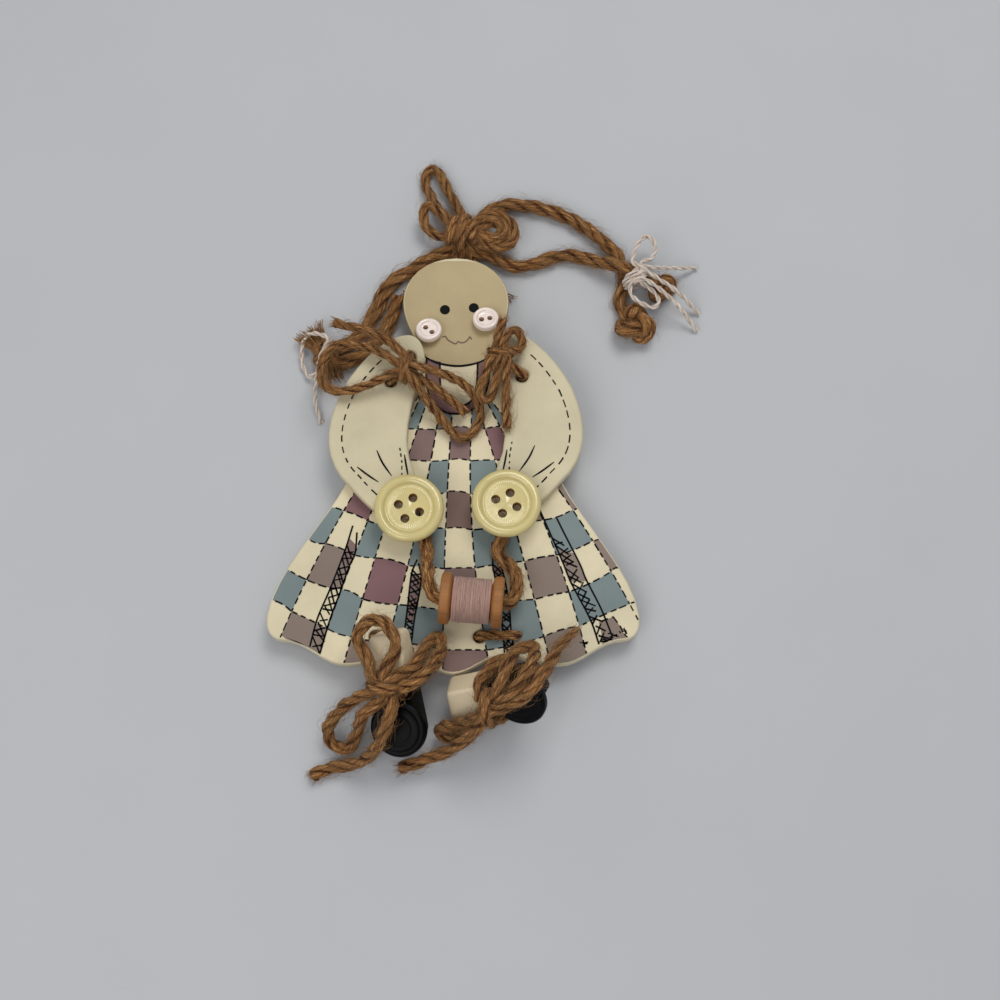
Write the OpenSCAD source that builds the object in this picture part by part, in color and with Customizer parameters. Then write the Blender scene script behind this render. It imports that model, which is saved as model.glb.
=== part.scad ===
// Painted wooden rag doll ornament with jute hair, button hands and a thread spool.
// It lies on its back on a table: +Z is up out of the face, +Y runs to the head, +X is the viewer's right.

/* [Board] */
// Thickness of the body board
board_t = 4; // [3:0.1:6]
// Length of the board from the crown to the lowest hem lobe
board_l = 100.8; // [96:0.2:106]
// Width of the head
head_w = 25.4; // [22:0.2:28]
// Width across the shoulders, behind the sleeves
shoulder_w = 32; // [28:0.5:36]
// Width of the skirt at its corners
skirt_w = 84; // [78:0.5:90]
// Depth of the hem's scallops
scallop_h = 4; // [2:0.5:5]

/* [Sleeves] */
// Thickness of a sleeve
arm_t = 3.5; // [2.5:0.1:5]
// Length of a sleeve from its tip to the middle of the hand
arm_l = 43; // [40:0.5:45]
// Greatest width of a sleeve
arm_w = 22.2; // [20:0.2:25]
// Diameter of the lashing holes through sleeve and board
lash_hole_d = 2.9; // [2.9:0.1:3.4]

/* [Buttons] */
// Diameter of a hand button
hand_d = 15.9; // [14:0.1:17]
// Thickness of a hand button
hand_t = 3.6; // [3:0.1:5]
// Diameter of a hand button's sunk middle
hand_dish_d = 10.9; // [9:0.1:11.5]
// Depth of a hand button's sunk middle
hand_dish_h = 1; // [0.4:0.1:1.6]
// Diameter of the four sewing holes
hand_hole_d = 2.1; // [1.5:0.1:2.4]
// Diameter of the circle that the four holes lie on
hand_hole_circle = 5.1; // [4.4:0.1:6]
// Diameter of a cheek button
cheek_d = 6.2; // [5:0.1:6.6]
// Thickness of a cheek button
cheek_t = 2.2; // [1.6:0.1:3]
// Diameter of a shoe button
shoe_d = 12.7; // [11:0.1:14]
// Thickness of a shoe button
shoe_t = 2.6; // [2:0.1:3]

/* [Spool] */
// Length of the spool
spool_l = 14; // [12.6:0.1:15]
// Diameter of the spool's flanges
flange_d = 11.6; // [10.8:0.1:12.4]
// Thickness of each flange at its rim
flange_t = 2.7; // [2:0.1:3]
// Diameter of the spool's barrel
barrel_d = 7; // [6:0.1:8]
// Diameter over the wound thread
wound_d = 10.2; // [9.4:0.1:10.6]
// Thickness of the sewing thread's outer turns
thread_d = 0.5; // [0.4:0.05:0.6]
// Turns in the outer layer
thread_turns = 8; // [5:1:8]

/* [Legs] */
// Length of a leg block
leg_l = 24; // [22:0.5:25]
// Width and depth of a leg block
leg_w = 7.3; // [6.5:0.1:7.5]
// Distance from a leg's top to the middle of its shoe button
shoe_drop = 20.5; // [19:0.5:21.5]
// Distance from the left leg's top to the jute round its ankle
ankle_drop_left = 10.6; // [9:0.1:10.8]
// Distance from the right leg's top to the jute round its ankle
ankle_drop_right = 12.2; // [10:0.1:12.4]

/* [Jute and thread] */
// Diameter of the jute that lashes the sleeves and hem
lash_d = 2.2; // [1.8:0.1:2.3]
// Diameter of the jute in the shoulder bows
bow_d = 1.9; // [1.6:0.1:2.1]
// Diameter of the jute in the ankle bows
ankle_d = 2.6; // [2.2:0.1:2.8]
// Diameter of the jute in the topknot and hanging loop
loop_d = 2.8; // [2:0.1:3.2]
// Diameter of the jute in the pigtails
hair_d = 3.4; // [3:0.1:3.6]
// Diameter of the jute that joins the hands
hand_cord_d = 3; // [2.4:0.1:3]
// Diameter of the thread tied round the pigtails
ribbon_d = 0.9; // [0.7:0.1:1]
// Room between pieces that move against each other
clear = 0.3; // [0.2:0.05:0.4]
// Room between pieces that lie on each other
lie = 0.1; // [0.05:0.05:0.2]

/* [Hidden] */
$fn = 64;

wood_cream = [0.93, 0.90, 0.80];
button_cream = [0.93, 0.89, 0.70];
shell_pink = [0.94, 0.86, 0.86];
spool_brown = [0.74, 0.52, 0.32];
thread_pink = [0.80, 0.66, 0.66];
ribbon_pink = [0.93, 0.86, 0.82];
jute_brown = [0.66, 0.44, 0.24];
shoe_black = [0.06, 0.06, 0.07];

// Layers, from the table up
board_z = lash_d + lie;
face_z = board_z + board_t;
arm_face_z = face_z + arm_t;

// The board lies with its crown this far above the origin
crown_y = 59.8;
hem_y = crown_y - board_l;
head_l = 22.6;
neck_y = crown_y - head_l;

// The sleeves' inner top corners, which sit a little to the viewer's right and not quite level
arm_x = 7.4;
arm_y = crown_y - 20.6;
arm_shift_x = 0.4;
arm_shift_y = 0.6;

// Lashing holes from a sleeve's inner top corner
lash_a = [3.6, -5.7];
lash_b = [7.9, -11.6];

// Middle of a hand button from the same corner, and the turn of its holes
hand_x = 3.6;
hand_shift_x = 0.6;
hand_turn = 70;

// The cheek buttons lean back on their domed undersides
cheek_left = [-6.3, crown_y - 19.7];
cheek_right = [7.2, crown_y - 16.9];
cheek_lean = 12;

// The line that the cord between the hands swings on, below the right sleeve's end
cuff_h = 2.2;
swing_drop = 7.8;
swing_y = hand_point(1)[1] - cuff_h - swing_drop;
swing_z = face_z + hand_cord_d / 2 + clear / 2;

// The spool's middle and the slope of its axis
spool_x = 4.3;
spool_y = swing_y - 12.4;
spool_z = face_z + flange_d / 2 + clear;
spool_slope = -5;
bore_d = hand_cord_d + 2 * clear;
window_l = spool_l - 2 * flange_t;

// The legs swing on the front run of their hem stitches
stitch_y = hem_y + 8.4;
stitch_z = face_z + lash_d / 2 + lie;
stitch_left = [-17.5, -10.5];
stitch_right = [6, 14.5];
stitch_hole_d = lash_hole_d;

// Top middle of each leg block, then its heading, tilt and roll
leg_left_at = [-14, stitch_y - 0.2, face_z + 7.5];
leg_left_turn = [12, 18, -20];
leg_right_at = [-0.6, stitch_y - 13.8, 4.7];
leg_right_turn = [96, -34, -40];
leg_edge_r = 0.8;

// Tubes of jute and thread
sides = 6;
steps = 2;

function unit(v) = v / norm(v);
function mirrored(p) = [for (i = [len(p) - 1 : -1 : 0]) [-p[i][0], p[i][1]]];
function bezier(a, b, c, d, n) = [for (i = [1 : n])
    let (t = i / n, s = 1 - t)
    s * s * s * a + 3 * s * s * t * b + 3 * s * t * t * c + t * t * t * d];
function wave(a, b, n) = [for (i = [1 : n])
    let (t = i / n)
    [a[0] + (b[0] - a[0]) * t, a[1] + (b[1] - a[1]) * (1 - cos(180 * t)) / 2]];
function placed(route, at) = [for (p = route) p + at];

// A smooth curve through hand-chosen points
function between(a, b, c, d, t) =
    0.5 * (2 * b + (c - a) * t + (2 * a - 5 * b + 4 * c - d) * t * t + (3 * b - a - 3 * c + d) * t * t * t);
function smooth(p) = let (last = len(p) - 1) [
    for (i = [0 : last - 1])
        for (k = [0 : steps - 1])
            between(p[max(i - 1, 0)], p[i], p[i + 1], p[min(i + 2, last)], k / steps),
    p[last]
];

// Rings of points round a curve, then the triangles that join them and close the ends
function ring(q, i, d, up) =
    let (
        t = unit(q[min(i + 1, len(q) - 1)] - q[max(i - 1, 0)]),
        s = unit(cross(up, t)),
        n = cross(t, s)
    )
    [for (j = [0 : sides - 1]) q[i] + d / 2 * (cos(360 * j / sides) * s + sin(360 * j / sides) * n)];
function skin(first, count) = [
    for (i = [0 : count - 2])
        for (j = [0 : sides - 1])
            let (
                a = first + i * sides + j,
                b = first + i * sides + (j + 1) % sides
            )
            each [[a, a + sides, b], [b, a + sides, b + sides]],
    for (j = [1 : sides - 2]) [first, first + j, first + j + 1],
    for (j = [1 : sides - 2])
        let (end = first + (count - 1) * sides)
        [end, end + j + 1, end + j]
];
function ring_start(curves, k) = k == 0 ? 0 : ring_start(curves, k - 1) + len(curves[k - 1]) * sides;

module tubes(curves, d, up = [0, 0, 1]) {
    polyhedron(
        points = [for (q = curves) for (i = [0 : len(q) - 1]) each ring(q, i, d, up)],
        faces = [for (k = [0 : len(curves) - 1]) each skin(ring_start(curves, k), len(curves[k]))]
    );
}

// A knot: two wraps of cord pulled tight side by side
knot_core = 0.72;
knot_wrap = 1.1;
knot_step = 0.42;
function knot_h(d) = (2 * knot_step + knot_wrap) * d;
module knot(d) {
    rotate_extrude()
        intersection() {
            union() {
                translate([knot_core * d, knot_step * d]) circle(d = knot_wrap * d);
                translate([knot_core * d, -knot_step * d]) circle(d = knot_wrap * d);
                translate([0, -knot_h(d) * 0.42]) square([knot_core * d, knot_h(d) * 0.84]);
            }
            translate([0, -2 * d]) square([2 * d, 4 * d]);
        }
}

// Outline of the board: right half from the crown to the hem, then its mirror
curve_n = 8;
corner_y = hem_y + 13.3;
board_right = concat(
    bezier([0, crown_y], [head_w * 0.29, crown_y], [head_w / 2, crown_y - 5.2],
        [head_w / 2, crown_y - 11.3], curve_n),
    bezier([head_w / 2, crown_y - 11.3], [head_w / 2, crown_y - 15.6],
        [head_w / 2 - 2.2, crown_y - 19.8], [head_w / 2 - 4.1, neck_y], curve_n),
    bezier([head_w / 2 - 4.1, neck_y], [head_w / 2 - 3.2, neck_y - 2],
        [shoulder_w / 2 - 3, neck_y - 2.7], [shoulder_w / 2, neck_y - 4.2], curve_n),
    bezier([shoulder_w / 2, neck_y - 4.2], [shoulder_w / 2 + 3, neck_y - 6.2],
        [skirt_w / 2 - 20.5, 10], [skirt_w / 2 - 17, 3.3], curve_n),
    bezier([skirt_w / 2 - 17, 3.3], [skirt_w / 2 - 12.5, -6],
        [skirt_w / 2 - 1, corner_y + 9.5], [skirt_w / 2, corner_y], curve_n),
    bezier([skirt_w / 2, corner_y], [skirt_w / 2 + 0.4, corner_y - 3.5],
        [skirt_w / 2 - 0.8, corner_y - 5.5], [skirt_w / 2 - 3.8, corner_y - 5.7], curve_n),
    wave([skirt_w / 2 - 3.8, corner_y - 5.7], [24, hem_y + 2], curve_n),
    wave([24, hem_y + 2], [11, hem_y + scallop_h], curve_n),
    wave([11, hem_y + scallop_h], [0, hem_y], curve_n)
);
module board_outline() {
    right = [for (i = [0 : len(board_right) - 2]) board_right[i]];
    polygon(concat([[0, crown_y]], right, [[0, hem_y]], mirrored(right)));
}

// Outline of the viewer's right sleeve, from its inner top corner
module arm_outline() {
    polygon(concat(
        bezier([0, -6], [0.3, -2.4], [1.6, -0.2], [4, 0], curve_n),
        bezier([4, 0], [arm_w * 0.38, 0], [arm_w * 0.67, -arm_l * 0.12],
            [arm_w * 0.88, -arm_l * 0.33], curve_n),
        bezier([arm_w * 0.88, -arm_l * 0.33], [arm_w * 1.06, -arm_l * 0.56],
            [arm_w * 1.03, -arm_l * 0.73], [arm_w * 0.76, -arm_l * 0.86], curve_n),
        bezier([arm_w * 0.76, -arm_l * 0.86], [arm_w * 0.6, -arm_l * 0.96],
            [hand_x + 5.5, -arm_l - cuff_h], [hand_x + 1, -arm_l - cuff_h], curve_n),
        bezier([hand_x + 1, -arm_l - cuff_h], [hand_x - 2.6, -arm_l - cuff_h],
            [hand_x - 2.6, -arm_l + 5], [hand_x - 1.6, -arm_l + 9], curve_n),
        bezier([hand_x - 1.6, -arm_l + 9], [hand_x + 3.4, -arm_l * 0.55],
            [0.6, -arm_l * 0.28], [0, -6], curve_n)
    ));
}

// Put a right-hand piece on its own side: side is 1 for the viewer's right and -1 for the left
module at_arm(side) {
    translate([arm_shift_x, side * arm_shift_y, 0])
        mirror([side < 0 ? 1 : 0, 0, 0])
            translate([arm_x, arm_y, 0])
                children();
}
function arm_point(side, p) = [
    arm_shift_x + side * (arm_x + p[0]),
    side * arm_shift_y + arm_y + p[1]
];

function hand_point(side) = arm_point(side, [hand_x + side * hand_shift_x, -arm_l]);

module lash_holes(z, h) {
    for (side = [-1, 1])
        for (p = [lash_a, lash_b])
            translate(concat(arm_point(side, p), z))
                cylinder(d = lash_hole_d, h = h);
}

module body_board() {
    color(wood_cream)
        difference() {
            translate([0, 0, board_z]) linear_extrude(board_t) board_outline();
            lash_holes(board_z - 1, board_t + 2);
            for (x = concat(stitch_left, stitch_right))
                translate([x, stitch_y, board_z - 1])
                    cylinder(d = stitch_hole_d, h = board_t + 2);
        }
}

module arm(side) {
    color(wood_cream)
        difference() {
            at_arm(side) translate([0, 0, face_z]) linear_extrude(arm_t) arm_outline();
            lash_holes(face_z - 1, arm_t + 2);
        }
}
module arm_left() { arm(-1); }
module arm_right() { arm(1); }

// A four-hole sewing button with a fat round rim and a sunk middle
rim_r = 1.3;
module hand_button(side) {
    floor_z = hand_t - hand_dish_h;
    color(button_cream)
        translate(concat(hand_point(side), arm_face_z))
            difference() {
                rotate_extrude() {
                    square([hand_dish_d / 2, floor_z]);
                    translate([hand_dish_d / 2 - 0.01, 0])
                        square([hand_d / 2 - rim_r - hand_dish_d / 2 + 0.01, hand_t]);
                    translate([0, 0.4]) square([hand_d / 2 - rim_r, floor_z - 0.4]);
                    translate([hand_d / 2 - rim_r, hand_t - rim_r]) circle(r = rim_r);
                    polygon([
                        [hand_d / 2 - rim_r - 0.02, 0], [hand_d / 2 - rim_r, 0],
                        [hand_d / 2, hand_t - rim_r], [hand_d / 2 - rim_r - 0.02, hand_t - rim_r]
                    ]);
                }
                for (k = [0 : 3])
                    rotate(hand_turn + 90 * k)
                        translate([hand_hole_circle / 2, 0, -1])
                            cylinder(d = hand_hole_d, h = hand_t + 2);
            }
}
module hand_button_left() { hand_button(-1); }
module hand_button_right() { hand_button(1); }

// A tiny two-hole pearl button with a domed underside
cheek_hole_d = 1.1;
cheek_hole_gap = 2;
cheek_dome = 0.5;
module cheek_button(at, turn) {
    lift = cheek_d / 2 * sin(cheek_lean);
    color(shell_pink)
        translate([at[0], at[1], face_z + lift - cheek_dome * 0.6])
            rotate([-cheek_lean, 0, 0])
                difference() {
                    rotate_extrude()
                        polygon([
                            [0, 0], [cheek_d * 0.28, 0],
                            [cheek_d / 2, cheek_dome], [cheek_d / 2, cheek_t - 0.5],
                            [cheek_d / 2 - 0.5, cheek_t], [cheek_d * 0.36, cheek_t],
                            [cheek_d * 0.3, cheek_t - 0.6], [0, cheek_t - 0.6]
                        ]);
                    for (s = [-1, 1])
                        rotate(turn)
                            translate([s * cheek_hole_gap / 2, 0, -1])
                                cylinder(d = cheek_hole_d, h = cheek_t + 2);
                }
}
module cheek_button_left() { cheek_button(cheek_left, -40); }
module cheek_button_right() { cheek_button(cheek_right, 10); }

// Jute through a sleeve's two holes, flat along the back of the board, its ends brought to the knot
module arm_lashing(side) {
    a = arm_point(side, lash_a);
    b = arm_point(side, lash_b);
    k = shoulder_knot_at(side);
    along = unit(concat(b - a, 0));
    low = lash_d / 2;
    top = arm_face_z + lash_d / 2 + lie;
    low_wrap = k - [0, 0, 1.1];
    reach = (knot_core + knot_wrap / 2) * bow_d * 0.8;
    ka = low_wrap + reach * unit(concat(a, low_wrap[2]) - low_wrap);
    kb = low_wrap + reach * unit(concat(b, low_wrap[2]) - low_wrap);
    bend = 0.9;
    color(jute_brown)
        tubes([[
            ka,
            concat(a, top) + [0, 0, 0.35],
            concat(a, arm_face_z - 0.6),
            concat(a, low + bend),
            concat(a, low) + bend * along,
            concat(b, low) - bend * along,
            concat(b, low + bend),
            concat(b, arm_face_z - 0.6),
            concat(b, top) + [0, 0, 0.35],
            kb
        ]], lash_d, cross([0, 0, 1], along));
}
module arm_lashing_left() { arm_lashing(-1); }
module arm_lashing_right() { arm_lashing(1); }

// Shoulder bows: knot places, then loops and tails, from the level of the sleeves' inner top corners
function shoulder_knot_at(side) =
    let (middle = side < 0 ? [-11.5, arm_y - 10.7] : [10.5, arm_y - 7.2])
    concat(middle, arm_face_z + lash_d + knot_h(bow_d) / 2 - 0.6);
shoulder_left_route = [
    [[-13.1, -9.3, 4.5], [-19, -5.7, 3.6], [-25.5, -4.2, 3.2], [-29.5, -6.2, 2.8], [-31, -10.2, 2.4],
        [-30, -14.2, 2.2], [-25.5, -15.7, 2.4], [-19, -14, 3.4], [-13.4, -11.6, 4.5]],
    [[-11.1, -8.6, 4.5], [-14.4, -4.8, 4.8], [-19.5, -2, 5], [-24, -0.8, 5], [-28, 0.3, 4.8]],
    [[-9.5, -10.2, 4.5], [-2, -11.7, 2.6], [3, -14.2, 0.8], [6, -18.7, -1], [5, -23.2, -1.8], [2, -25.7, -2],
        [-1.5, -23.2, -1.6], [-6, -17.7, 1.2], [-10.4, -12.5, 4.5]],
    [[-9.6, -11.5, 2.4], [-4.5, -14.6, 1.8], [0, -17.7, 0.2], [2.4, -19.8, -1]]
];
shoulder_right_route = [
    [[10.7, -5.1, 4.5], [11.8, -2.2, 3.8], [13.5, -0.6, 3.2], [15.4, -1.2, 3], [16.4, -3.8, 3],
        [15.2, -5.8, 3.6], [12.4, -6.2, 4.5]],
    [[9.1, -5.6, 2.4], [9.2, -2.2, 3.4], [9.8, 1.3, 4]],
    [[8.7, -8.3, 4.5], [7, -12.2, 3], [5.9, -15.4, 2], [6.8, -17.2, 1.6], [8.8, -16.8, 1.6], [10, -14.2, 2.4],
        [10.6, -9.3, 4.5]],
    [[12.3, -8.3, 4.5], [13.4, -13.7, 3], [13, -20.2, 1.6], [12.8, -24.2, 1.4]]
];
module shoulder_knot(side) {
    color(jute_brown) translate(shoulder_knot_at(side)) knot(bow_d);
}
module shoulder_knot_left() { shoulder_knot(-1); }
module shoulder_knot_right() { shoulder_knot(1); }
module shoulder_bow(routes) {
    color(jute_brown) tubes([for (r = routes) smooth(placed(r, [0, arm_y, arm_face_z]))], bow_d);
}
module shoulder_bow_left() { shoulder_bow(shoulder_left_route); }
module shoulder_bow_right() { shoulder_bow(shoulder_right_route); }

// The cord from hand to hand, through the spool
module at_spool() {
    translate([spool_x, spool_y, spool_z])
        rotate([0, 0, spool_slope])
            rotate([0, 90, 0])
                children();
}
function spool_point(s) = [
    spool_x + s * cos(spool_slope),
    spool_y + s * sin(spool_slope),
    spool_z
];
cord_left_x = -6;
cord_right_x = 10.2;
function drop(share) = swing_y + share * (spool_y - swing_y);
module hand_cord() {
    inside = spool_l * 0.2;
    color(jute_brown)
        tubes([smooth([
            [cord_left_x, swing_y, swing_z], [-5.8, drop(0.27), swing_z + 1.5],
            [-5.4, drop(0.53), spool_z - 1], [-5.1, drop(0.74), spool_z],
            [-4.5, drop(0.89), spool_z],
            spool_point(-spool_l / 2),
            spool_point(-inside),
            spool_point(inside),
            spool_point(spool_l / 2),
            [13.2, drop(1.02), spool_z], [14, drop(0.89), spool_z],
            [14.3, drop(0.68), spool_z - 0.6], [13.7, drop(0.42), swing_z + 2.2],
            [11.4, drop(0.18), swing_z + 0.6], [10.4, drop(0.08), swing_z + 0.1],
            [cord_right_x, swing_y, swing_z]
        ])], hand_cord_d);
}

// The cord's ends, glued under the hand buttons
module hand_cord_end(side, x) {
    hand = hand_point(side);
    edge = swing_y + hand_cord_d / 2 + clear;
    heading = hand[0] > x ? 25 : -25;
    color(jute_brown)
        translate([x, edge, swing_z])
            rotate([0, 0, -heading])
                rotate([-90, 0, 0])
                    cylinder(d = hand_cord_d, h = 4);
}
module hand_cord_end_left() { hand_cord_end(-1, cord_left_x); }
module hand_cord_end_right() { hand_cord_end(1, cord_right_x); }

// A turned wooden spool with a bevelled shoulder inside each flange
module spool() {
    half = spool_l / 2;
    shoulder = 0.6;
    color(spool_brown)
        at_spool()
            difference() {
                rotate_extrude()
                    polygon([
                        [0, -half], [flange_d / 2 - 0.3, -half],
                        [flange_d / 2, -half + 0.3], [flange_d / 2, -half + flange_t - shoulder],
                        [barrel_d / 2, -half + flange_t], [barrel_d / 2, half - flange_t],
                        [flange_d / 2, half - flange_t + shoulder], [flange_d / 2, half - 0.3],
                        [flange_d / 2 - 0.3, half], [0, half]
                    ]);
                translate([0, 0, -half - 1]) cylinder(d = bore_d, h = spool_l + 2);
            }
}

// The inner layers of thread, as one sleeve on the barrel
wind_r = wound_d / 2 - thread_d / 2;
core_r = wind_r - thread_d / 2 - lie / 2;
core_l = window_l - 2 * lie;
module thread_core() {
    color(thread_pink)
        at_spool()
            difference() {
                cylinder(r = core_r, h = core_l, center = true);
                cylinder(d = barrel_d + lie, h = core_l + 2, center = true);
            }
}

// The outer layer: one unbroken thread wound along the core, its ends run out straight
turn_rings = 24;
wind_pitch = (window_l - 2 * thread_d) / thread_turns;
wind_gap = wind_pitch - thread_d;
function wind_point(a) = [
    wind_r * cos(a),
    wind_r * sin(a),
    wind_pitch * (a / 360 - thread_turns / 2)
];
module thread_winding() {
    last = thread_turns * turn_rings;
    turn = [for (i = [0 : last]) wind_point(360 * i / turn_rings)];
    start = turn[0] - thread_d * unit(turn[1] - turn[0]);
    end = turn[last] + thread_d * unit(turn[last] - turn[last - 1]);
    echo(least_gap_between_turns = wind_gap);
    color(thread_pink) at_spool() tubes([concat([start], turn, [end])], thread_d);
}

// Legs: a block whose front carries a round black shoe button
module at_leg(place, turn) {
    translate(place)
        rotate([0, 0, turn[0]])
            rotate([turn[1], 0, 0])
                rotate([0, turn[2], 0])
                    children();
}
module leg(place, turn) {
    inner = leg_w / 2 - leg_edge_r;
    color(wood_cream)
        at_leg(place, turn)
            rotate([90, 0, 0])
                linear_extrude(leg_l) {
                    square([leg_w, 2 * inner], center = true);
                    square([2 * inner, leg_w], center = true);
                    for (x = [-inner, inner])
                        for (y = [-inner, inner])
                            translate([x, y]) circle(r = leg_edge_r);
                }
}
module leg_left() { leg(leg_left_at, leg_left_turn); }
module leg_right() { leg(leg_right_at, leg_right_turn); }

module shoe_button(place, turn) {
    color(shoe_black)
        at_leg(place, turn)
            translate([0, -shoe_drop, leg_w / 2])
                rotate_extrude()
                    polygon([
                        [0, 0], [shoe_d / 2 - 0.6, 0],
                        [shoe_d / 2, 0.6], [shoe_d / 2, shoe_t - 0.6],
                        [shoe_d / 2 - 0.6, shoe_t], [shoe_d / 2 - 1.4, shoe_t],
                        [shoe_d / 2 - 2.2, shoe_t - 0.5], [0, shoe_t - 0.5]
                    ]);
}
module shoe_button_left() { shoe_button(leg_left_at, leg_left_turn); }
module shoe_button_right() { shoe_button(leg_right_at, leg_right_turn); }

// Hem stitches: a front run that a leg swings on, and ends that come down behind the board
module hem_stitch(x, out) {
    low = lash_d / 2;
    color(jute_brown)
        tubes([[
            out,
            [x[0], stitch_y - 0.9, low],
            [x[0], stitch_y, low + 0.9],
            [x[0], stitch_y, stitch_z - 0.9],
            [x[0] + 0.9, stitch_y, stitch_z],
            [x[1] - 0.9, stitch_y, stitch_z],
            [x[1], stitch_y, stitch_z - 0.9],
            [x[1], stitch_y, low + 0.9],
            [x[1] - 0.4, stitch_y + 0.9, low],
            [x[1] - 2.5, stitch_y + 2.4, low]
        ]], lash_d, unit([0.3, 1, 0.2]));
}
module hem_stitch_left() { hem_stitch(stitch_left, [stitch_left[0], stitch_y - 3.6, lash_d / 2]); }
module hem_stitch_right() { hem_stitch(stitch_right, [stitch_right[0] + 2.8, stitch_y - 3.8, lash_d / 2]); }

// The jute from each hem stitch to the back of the ankle, in the leg's own frame
wrap_r = leg_w / 2 + ankle_d / 2 + lie;
module leg_cord_left() {
    color(jute_brown)
        at_leg(leg_left_at, leg_left_turn)
            tubes([smooth([
                [1.2, -5.1, -5.3], [1.5, -7, -4.95],
                [1.2, 1.2 - ankle_drop_left, -wrap_r]
            ])], lash_d, [1, 0, 0]);
}
module leg_cord_right() {
    color(jute_brown)
        at_leg(leg_right_at, leg_right_turn)
            tubes([smooth([
                [-1, -6.9, -10.3], [-1.6, -8, -8.2],
                [-1.4, -9.6, -6.2], [-1, 1.4 - ankle_drop_right, -wrap_r]
            ])], lash_d, [1, 0, 0]);
}

// Jute tied round each ankle, its ends rising into the knot
module ankle_wrap(place, turn, drop, rise) {
    c = wrap_r - 1.6;
    open = ankle_d / 2 + 0.3;
    color(jute_brown)
        at_leg(place, turn)
            translate([0, -drop, 0])
                tubes([[
                    [open, 0, wrap_r + rise], [c, 0, wrap_r],
                    [wrap_r, 0, c], [wrap_r, 0, -c],
                    [c, 0, -wrap_r], [-c, 0, -wrap_r],
                    [-wrap_r, 0, -c], [-wrap_r, 0, c],
                    [-c, 0, wrap_r], [-open, 0, wrap_r + rise]
                ]], ankle_d, [0, 1, 0]);
}
module ankle_wrap_left() { ankle_wrap(leg_left_at, leg_left_turn, ankle_drop_left, 0); }
module ankle_wrap_right() { ankle_wrap(leg_right_at, leg_right_turn, ankle_drop_right, 1); }

// The left knot sits on the leg; the right one sits further down, over the edge of its shoe
module ankle_knot(place, turn, at) {
    color(jute_brown) at_leg(place, turn) translate(at) knot(ankle_d);
}
knot_left_at = [0, -ankle_drop_left, leg_w / 2 + lie + knot_h(ankle_d) / 2];
knot_right_at = [0, -ankle_drop_right - 2.2, leg_w / 2 + shoe_t + lie + knot_h(ankle_d) / 2];
module ankle_knot_left() { ankle_knot(leg_left_at, leg_left_turn, knot_left_at); }
module ankle_knot_right() { ankle_knot(leg_right_at, leg_right_turn, knot_right_at); }

// Loops and tails of the ankle bows, in each leg's own frame
ankle_left_route = [
    [[-2.3, -8.5, 7.7], [-3.1, -4.1, 6.8], [-4.8, -0.2, 6], [-3.6, 2.6, 5.4], [-0.7, 3.8, 5], [2.4, 2.2, 5.6],
        [3.5, -2.9, 6], [0.2, -7.5, 7.7]],
    [[2.5, -8.8, 7.7], [6.5, -8, 2.4], [7.2, -6, -3.6], [8.7, -4.4, -7.2], [10.5, -5.6, -7.6],
        [9.7, -8.1, -5], [8.8, -9.8, 1.6], [6.6, -10.9, 6.4], [3, -11.5, 7.7]],
    [[-3.1, -11.1, 7.7], [-8.2, -12.6, 6.7], [-13.6, -15.2, 4.4], [-17.8, -19.2, 2.8], [-17.4, -23.2, 2],
        [-14, -24, 1.8], [-10.2, -20.2, 4], [-6.4, -15.7, 7.1], [-1.5, -13.3, 7.7]],
    [[1.2, -13.5, 7.7], [0.7, -16.6, 8.4], [-1.8, -21, 8.4], [-4.8, -25.6, 8.2], [-8.6, -28.4, 5],
        [-12.6, -28.6, 2.6], [-16.9, -28.4, 2.6], [-20.2, -28.1, 3.6], [-22.7, -28.9, 4.8]]
];
ankle_right_route = [
    [[2.9, -13.3, 10.3], [6.6, -17.4, 9.8], [8.2, -23, 6.8], [6.5, -25.2, -1.2], [5.2, -26.3, -4.1],
        [3.6, -27.9, -2.6], [5.4, -27.2, 6.4], [3.4, -21.6, 9.4], [2, -16.8, 10.3]],
    [[-0.7, -17.4, 10.3], [0.2, -22, 9.2], [1.2, -28.8, 7.4], [0.8, -30.4, -2], [0.6, -31, -9.5],
        [0.6, -31.2, -12.8]],
    [[0.3, -11.3, 10.3], [-1.7, -6.1, 7.8], [-4.2, -0.6, 5.4], [-6.9, 3, 4.5], [-9.5, 2, 5.3],
        [-7.8, -3.8, 6.8], [-2.3, -12.3, 10.3]],
    [[-3.1, -14.9, 10.3], [-8.6, -12.6, 10], [-11.2, -4.4, 10.6], [-10.8, 3.5, 11.7], [-8.3, 8.2, 13.4],
        [-6.8, 10.8, 14.4]]
];
module ankle_bow(place, turn, routes) {
    color(jute_brown) at_leg(place, turn) tubes([for (r = routes) smooth(r)], ankle_d);
}
module ankle_bow_left() { ankle_bow(leg_left_at, leg_left_turn, ankle_left_route); }
module ankle_bow_right() { ankle_bow(leg_right_at, leg_right_turn, ankle_right_route); }

// Hair: a flat band of jute glued behind the crown, a topknot on a flat tail, its loops, and two pigtails,
// with routes given from the level of the crown
function from_crown(route) = placed(route, [0, crown_y, 0]);
band_w = 4;
band_t = lash_d;
band_r = head_w / 2 - 1.2;
band_y = crown_y - head_w / 2 + 1;
band_from = 12;
band_to = 164;
ear_w = 4;
ear_out = 1;
ear_turns = [74, -72];
module hair_band() {
    inner_r = band_r - band_w;
    color(jute_brown)
        linear_extrude(band_t)
            translate([0, band_y]) {
                polygon(concat(
                    [for (a = [band_from : 8 : band_to]) band_r * [cos(a), sin(a)]],
                    [for (a = [band_to : -8 : band_from]) inner_r * [cos(a), sin(a)]]
                ));
                for (turn = ear_turns)
                    rotate(turn)
                        translate([-ear_w / 2, inner_r]) square([ear_w, head_w / 2 + ear_out - inner_r]);
            }
}

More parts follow.
